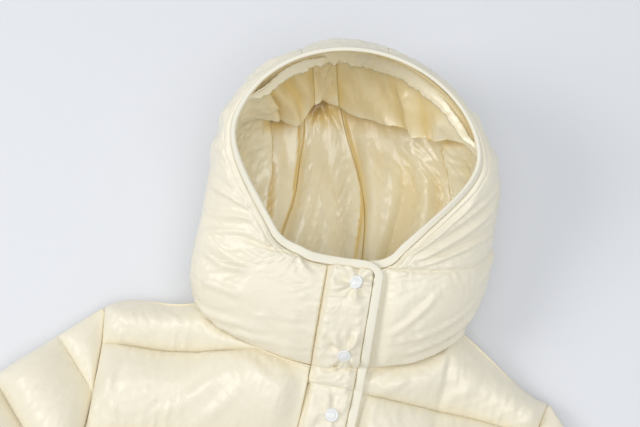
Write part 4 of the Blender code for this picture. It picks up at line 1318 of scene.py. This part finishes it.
def binding_frames():
    """Centre, half width and half thickness of the tape all along it."""
    rise = BINDING_WIDE / 2 + 0.3 * MM
    half_wide, half_thick = BINDING_WIDE / 2, BINDING_THICK / 2
    over = UNDER_PLACKET + PLACKET_THICK * 0.6 + half_thick + 0.6 * MM
    frames = []
    for angle in np.concatenate((np.arange(1.0, 340.0, 1.2), np.arange(340.0, 355.0, 0.8))):
        point, out, up = (v[()] for v in tube_frame(angle, 1.0))
        climb = over * float(smooth((angle - 318) / 22))
        climb += TAPE_OUT * float(smooth((angle - 25) / 20) * smooth((335 - angle) / 20))
        slim = 1 - 0.2 * bell(angle - 290, 34) - 0.15 * bell(angle - 66, 30)
        frames.append((point + up * rise * slim + out * climb, up * half_wide * slim, out * half_thick))
    edge_x = PLACKET_RIGHT + rise
    for x in np.arange(PLACKET_LEFT + 2 * MM, PLACKET_RIGHT - 8 * MM, 2.0 * MM):
        point, out, up = tube_frame(float(tube_angle(x, 1.0)), 1.0)
        frames.append((point + up * rise + out * over, up * half_wide, out * half_thick))
    corner = 8 * MM
    point, out, up = tube_frame(float(tube_angle(PLACKET_RIGHT - corner, 1.0)), 1.0)
    side = np.array((1.0, 0, 0))
    hub = point - up * corner + out * over
    for degrees in np.arange(0, 91, 9):
        turn = math.radians(degrees)
        spoke = up * math.cos(turn) + side * math.sin(turn)
        frames.append((hub + spoke * (corner + rise), spoke * half_wide, out * half_thick))
    for share in np.arange(0.88, 0.06, -0.02):
        point, out, _ = tube_frame(float(tube_angle(edge_x, share)), share)
        frames.append((point + out * over, side * half_wide, out * half_thick))
    upright = np.array((0, 0, half_thick))
    neck = tube_point(float(tube_angle(edge_x, 0.0)), 0.0) + np.array((0, 1 * MM, over))
    frames.append((neck, side * half_wide, upright))
    top = float(top_y(np.array(edge_x), False))
    for y in np.arange(top - 8 * MM, HEM_Y - TAPE_WIDE, -3 * MM):
        z = float(binding_seat(edge_x, max(y, HEM_Y)))
        frames.append((np.array((edge_x, y, z + half_thick + 0.4 * MM)), side * half_wide, upright))
    return frames


def channel_share(x, y):
    """Which share of its quilting channel a place on the front lies at."""
    lines = line_heights() + [float(top_y(np.array(x), False))]
    k = max(0, min(len(lines) - 2, int(np.searchsorted(lines, y)) - 1))
    return np.array((y - lines[k]) / (lines[k + 1] - lines[k]))


def binding_seat(x, y):
    """Height of the front under the binding."""
    return front_surface(np.array(x), np.array(y), channel_share(x, y)) + 2.0 * MM


def make_binding():
    frames = np.array([[np.asarray(v, float) for v in frame] for frame in binding_frames()])
    steps = np.linalg.norm(np.diff(frames[:, 0], axis=0), axis=1)
    so_far = np.concatenate(([0.0], np.cumsum(steps)))
    lengths = np.arange(0, so_far[-1], 2.4 * MM)
    flat = frames.reshape(len(frames), -1)
    even = np.stack([np.interp(lengths, so_far, flat[:, k]) for k in range(flat.shape[1])], 1)
    for _ in range(5):
        even[1:-1] = (even[:-2] + 2 * even[1:-1] + even[2:]) / 4
    sections = []
    for length, (centre, wide, thick) in zip(lengths, even.reshape(-1, 3, 3)):
        thick = thick * TAPE_LOW / np.linalg.norm(thick)
        swell = 1 + 0.06 * float(ripple(length, 0.0, 8, 14 * MM))
        lower = centre - thick * (BINDING_THICK / 2 / TAPE_LOW - 1)
        sections.append(ring_section(lower, wide * swell, thick * swell, 20, 0.5))
    piece = sweep("binding_tape", sections, TAPE)
    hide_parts("binding")


# ---------------------------------------------------------------- snaps


SnapRing = namedtuple("SnapRing", "reach height")  # in mm
SNAP_FORM = (
    SnapRing(6.2, -0.8),
    SnapRing(7.0, 0.2),
    SnapRing(7.0, 0.9),
    SnapRing(6.7, 1.5),
    SnapRing(6.0, 1.9),
    SnapRing(5.2, 2.0),
    SnapRing(4.9, 1.7),
    SnapRing(4.5, 1.7),
    SnapRing(4.1, 2.1),
    SnapRing(2.6, 2.5),
    SnapRing(0.6, 2.65),
)


def make_snap(name, seat, out):
    out = out / np.linalg.norm(out)
    side = np.array((1.0, 0, 0)) - out * out[0]
    side /= np.linalg.norm(side)
    other = np.cross(out, side)
    sections = []
    for ring in SNAP_FORM:
        turns = np.linspace(0, 2 * math.pi, 41)[:-1]
        spokes = [side * math.cos(t) + other * math.sin(t) for t in turns]
        sections.append([seat + out * ring.height * MM + spoke * ring.reach * MM for spoke in spokes])
    piece = sweep(name + "_cap", sections, PLASTIC)
    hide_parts(name)


def surface_seat(surface, a, b, da, db):
    """A point of a surface and its outward direction, by two small steps."""
    here, right, up = (surface(*p) for p in ((a, b), (a + da, b), (a, b + db)))
    return here, np.cross(right - here, up - here)


SNAP_LIFT = 0.9 * MM  # how far a cap's base stands off the placket


def make_snaps():
    def collar_face(x, share):
        return collar_placket_point(np.array(x), np.array(share), 1.0)

    def body_face(x, y):
        return body_placket_point(np.array(x), np.array(y), channel_share(x, y), 1.0)

    for k, share in enumerate(SNAP_COLLAR):
        seat, out = surface_seat(collar_face, SNAP_LINE, share, 4 * MM, 0.04)
        make_snap(f"snap_collar_{k + 1}", seat + out / np.linalg.norm(out) * SNAP_LIFT, out)
    for k, y in enumerate(body_snaps()):
        seat, out = surface_seat(body_face, SNAP_LINE, y, 4 * MM, 4 * MM)
        make_snap(f"snap_body_{k + 1}", seat + out / np.linalg.norm(out) * SNAP_LIFT, out)


# ---------------------------------------------------------------- surroundings


def make_room():
    bpy.ops.mesh.primitive_plane_add(size=12, location=(0, 0, -0.5 * MM))
    floor = bpy.context.object
    floor.name = "floor"
    floor.data.materials.append(node_material("pale backdrop", (0.80, 0.815, 0.85), 0.8))
    world = bpy.data.worlds.new("soft room")
    world.use_nodes = True
    world.node_tree.nodes["Background"].inputs["Color"].default_value = (0.93, 0.96, 1.0, 1)
    world.node_tree.nodes["Background"].inputs["Strength"].default_value = 0.52
    bpy.context.scene.world = world
    for name, place, size, power, colour in (
        ("key", (-2.15, -0.45, 2.1), 1.3, 28.0, (1.0, 0.985, 0.96)),
        ("top", (0.5, -0.5, 2.9), 2.2, 32, (1.0, 0.99, 0.98)),
    ):
        light = bpy.data.lights.new(name, "AREA")
        light.size = size
        light.energy = power
        light.color = colour
        lamp = bpy.data.objects.new(name, light)
        bpy.context.scene.collection.objects.link(lamp)
        lamp.location = place
        lamp.rotation_mode = "QUATERNION"
        lamp.rotation_quaternion = (Vector((0, 0.1, 0.05)) - Vector(place)).to_track_quat("-Z", "Y")
    bpy.context.scene.view_settings.view_transform = "Standard"


CAMERA_TURN = math.radians(12.36)
CAMERA_STEEP = math.radians(73.89)
CAMERA_AWAY = 1.3
LENS = 68.5


def make_camera():
    turn, steep = CAMERA_TURN, CAMERA_STEEP
    target = Vector((-0.0354, 0.1623, 0.05))
    away = Vector((math.sin(turn) * math.cos(steep), -math.cos(turn) * math.cos(steep), math.sin(steep)))
    data = bpy.data.cameras.new("camera")
    data.lens = LENS
    data.sensor_width = 36
    camera = bpy.data.objects.new("camera", data)
    bpy.context.scene.collection.objects.link(camera)
    camera.location = target + away * CAMERA_AWAY
    camera.rotation_mode = "QUATERNION"
    camera.rotation_quaternion = (-away).to_track_quat("-Z", "Y")
    bpy.context.scene.camera = camera


make_collar()
make_hood_shell()
make_lining()
make_facing()
make_body()
make_plackets()
make_sleeves()
make_cuffs()
make_hem()
make_binding()
make_snaps()
make_room()
make_camera()
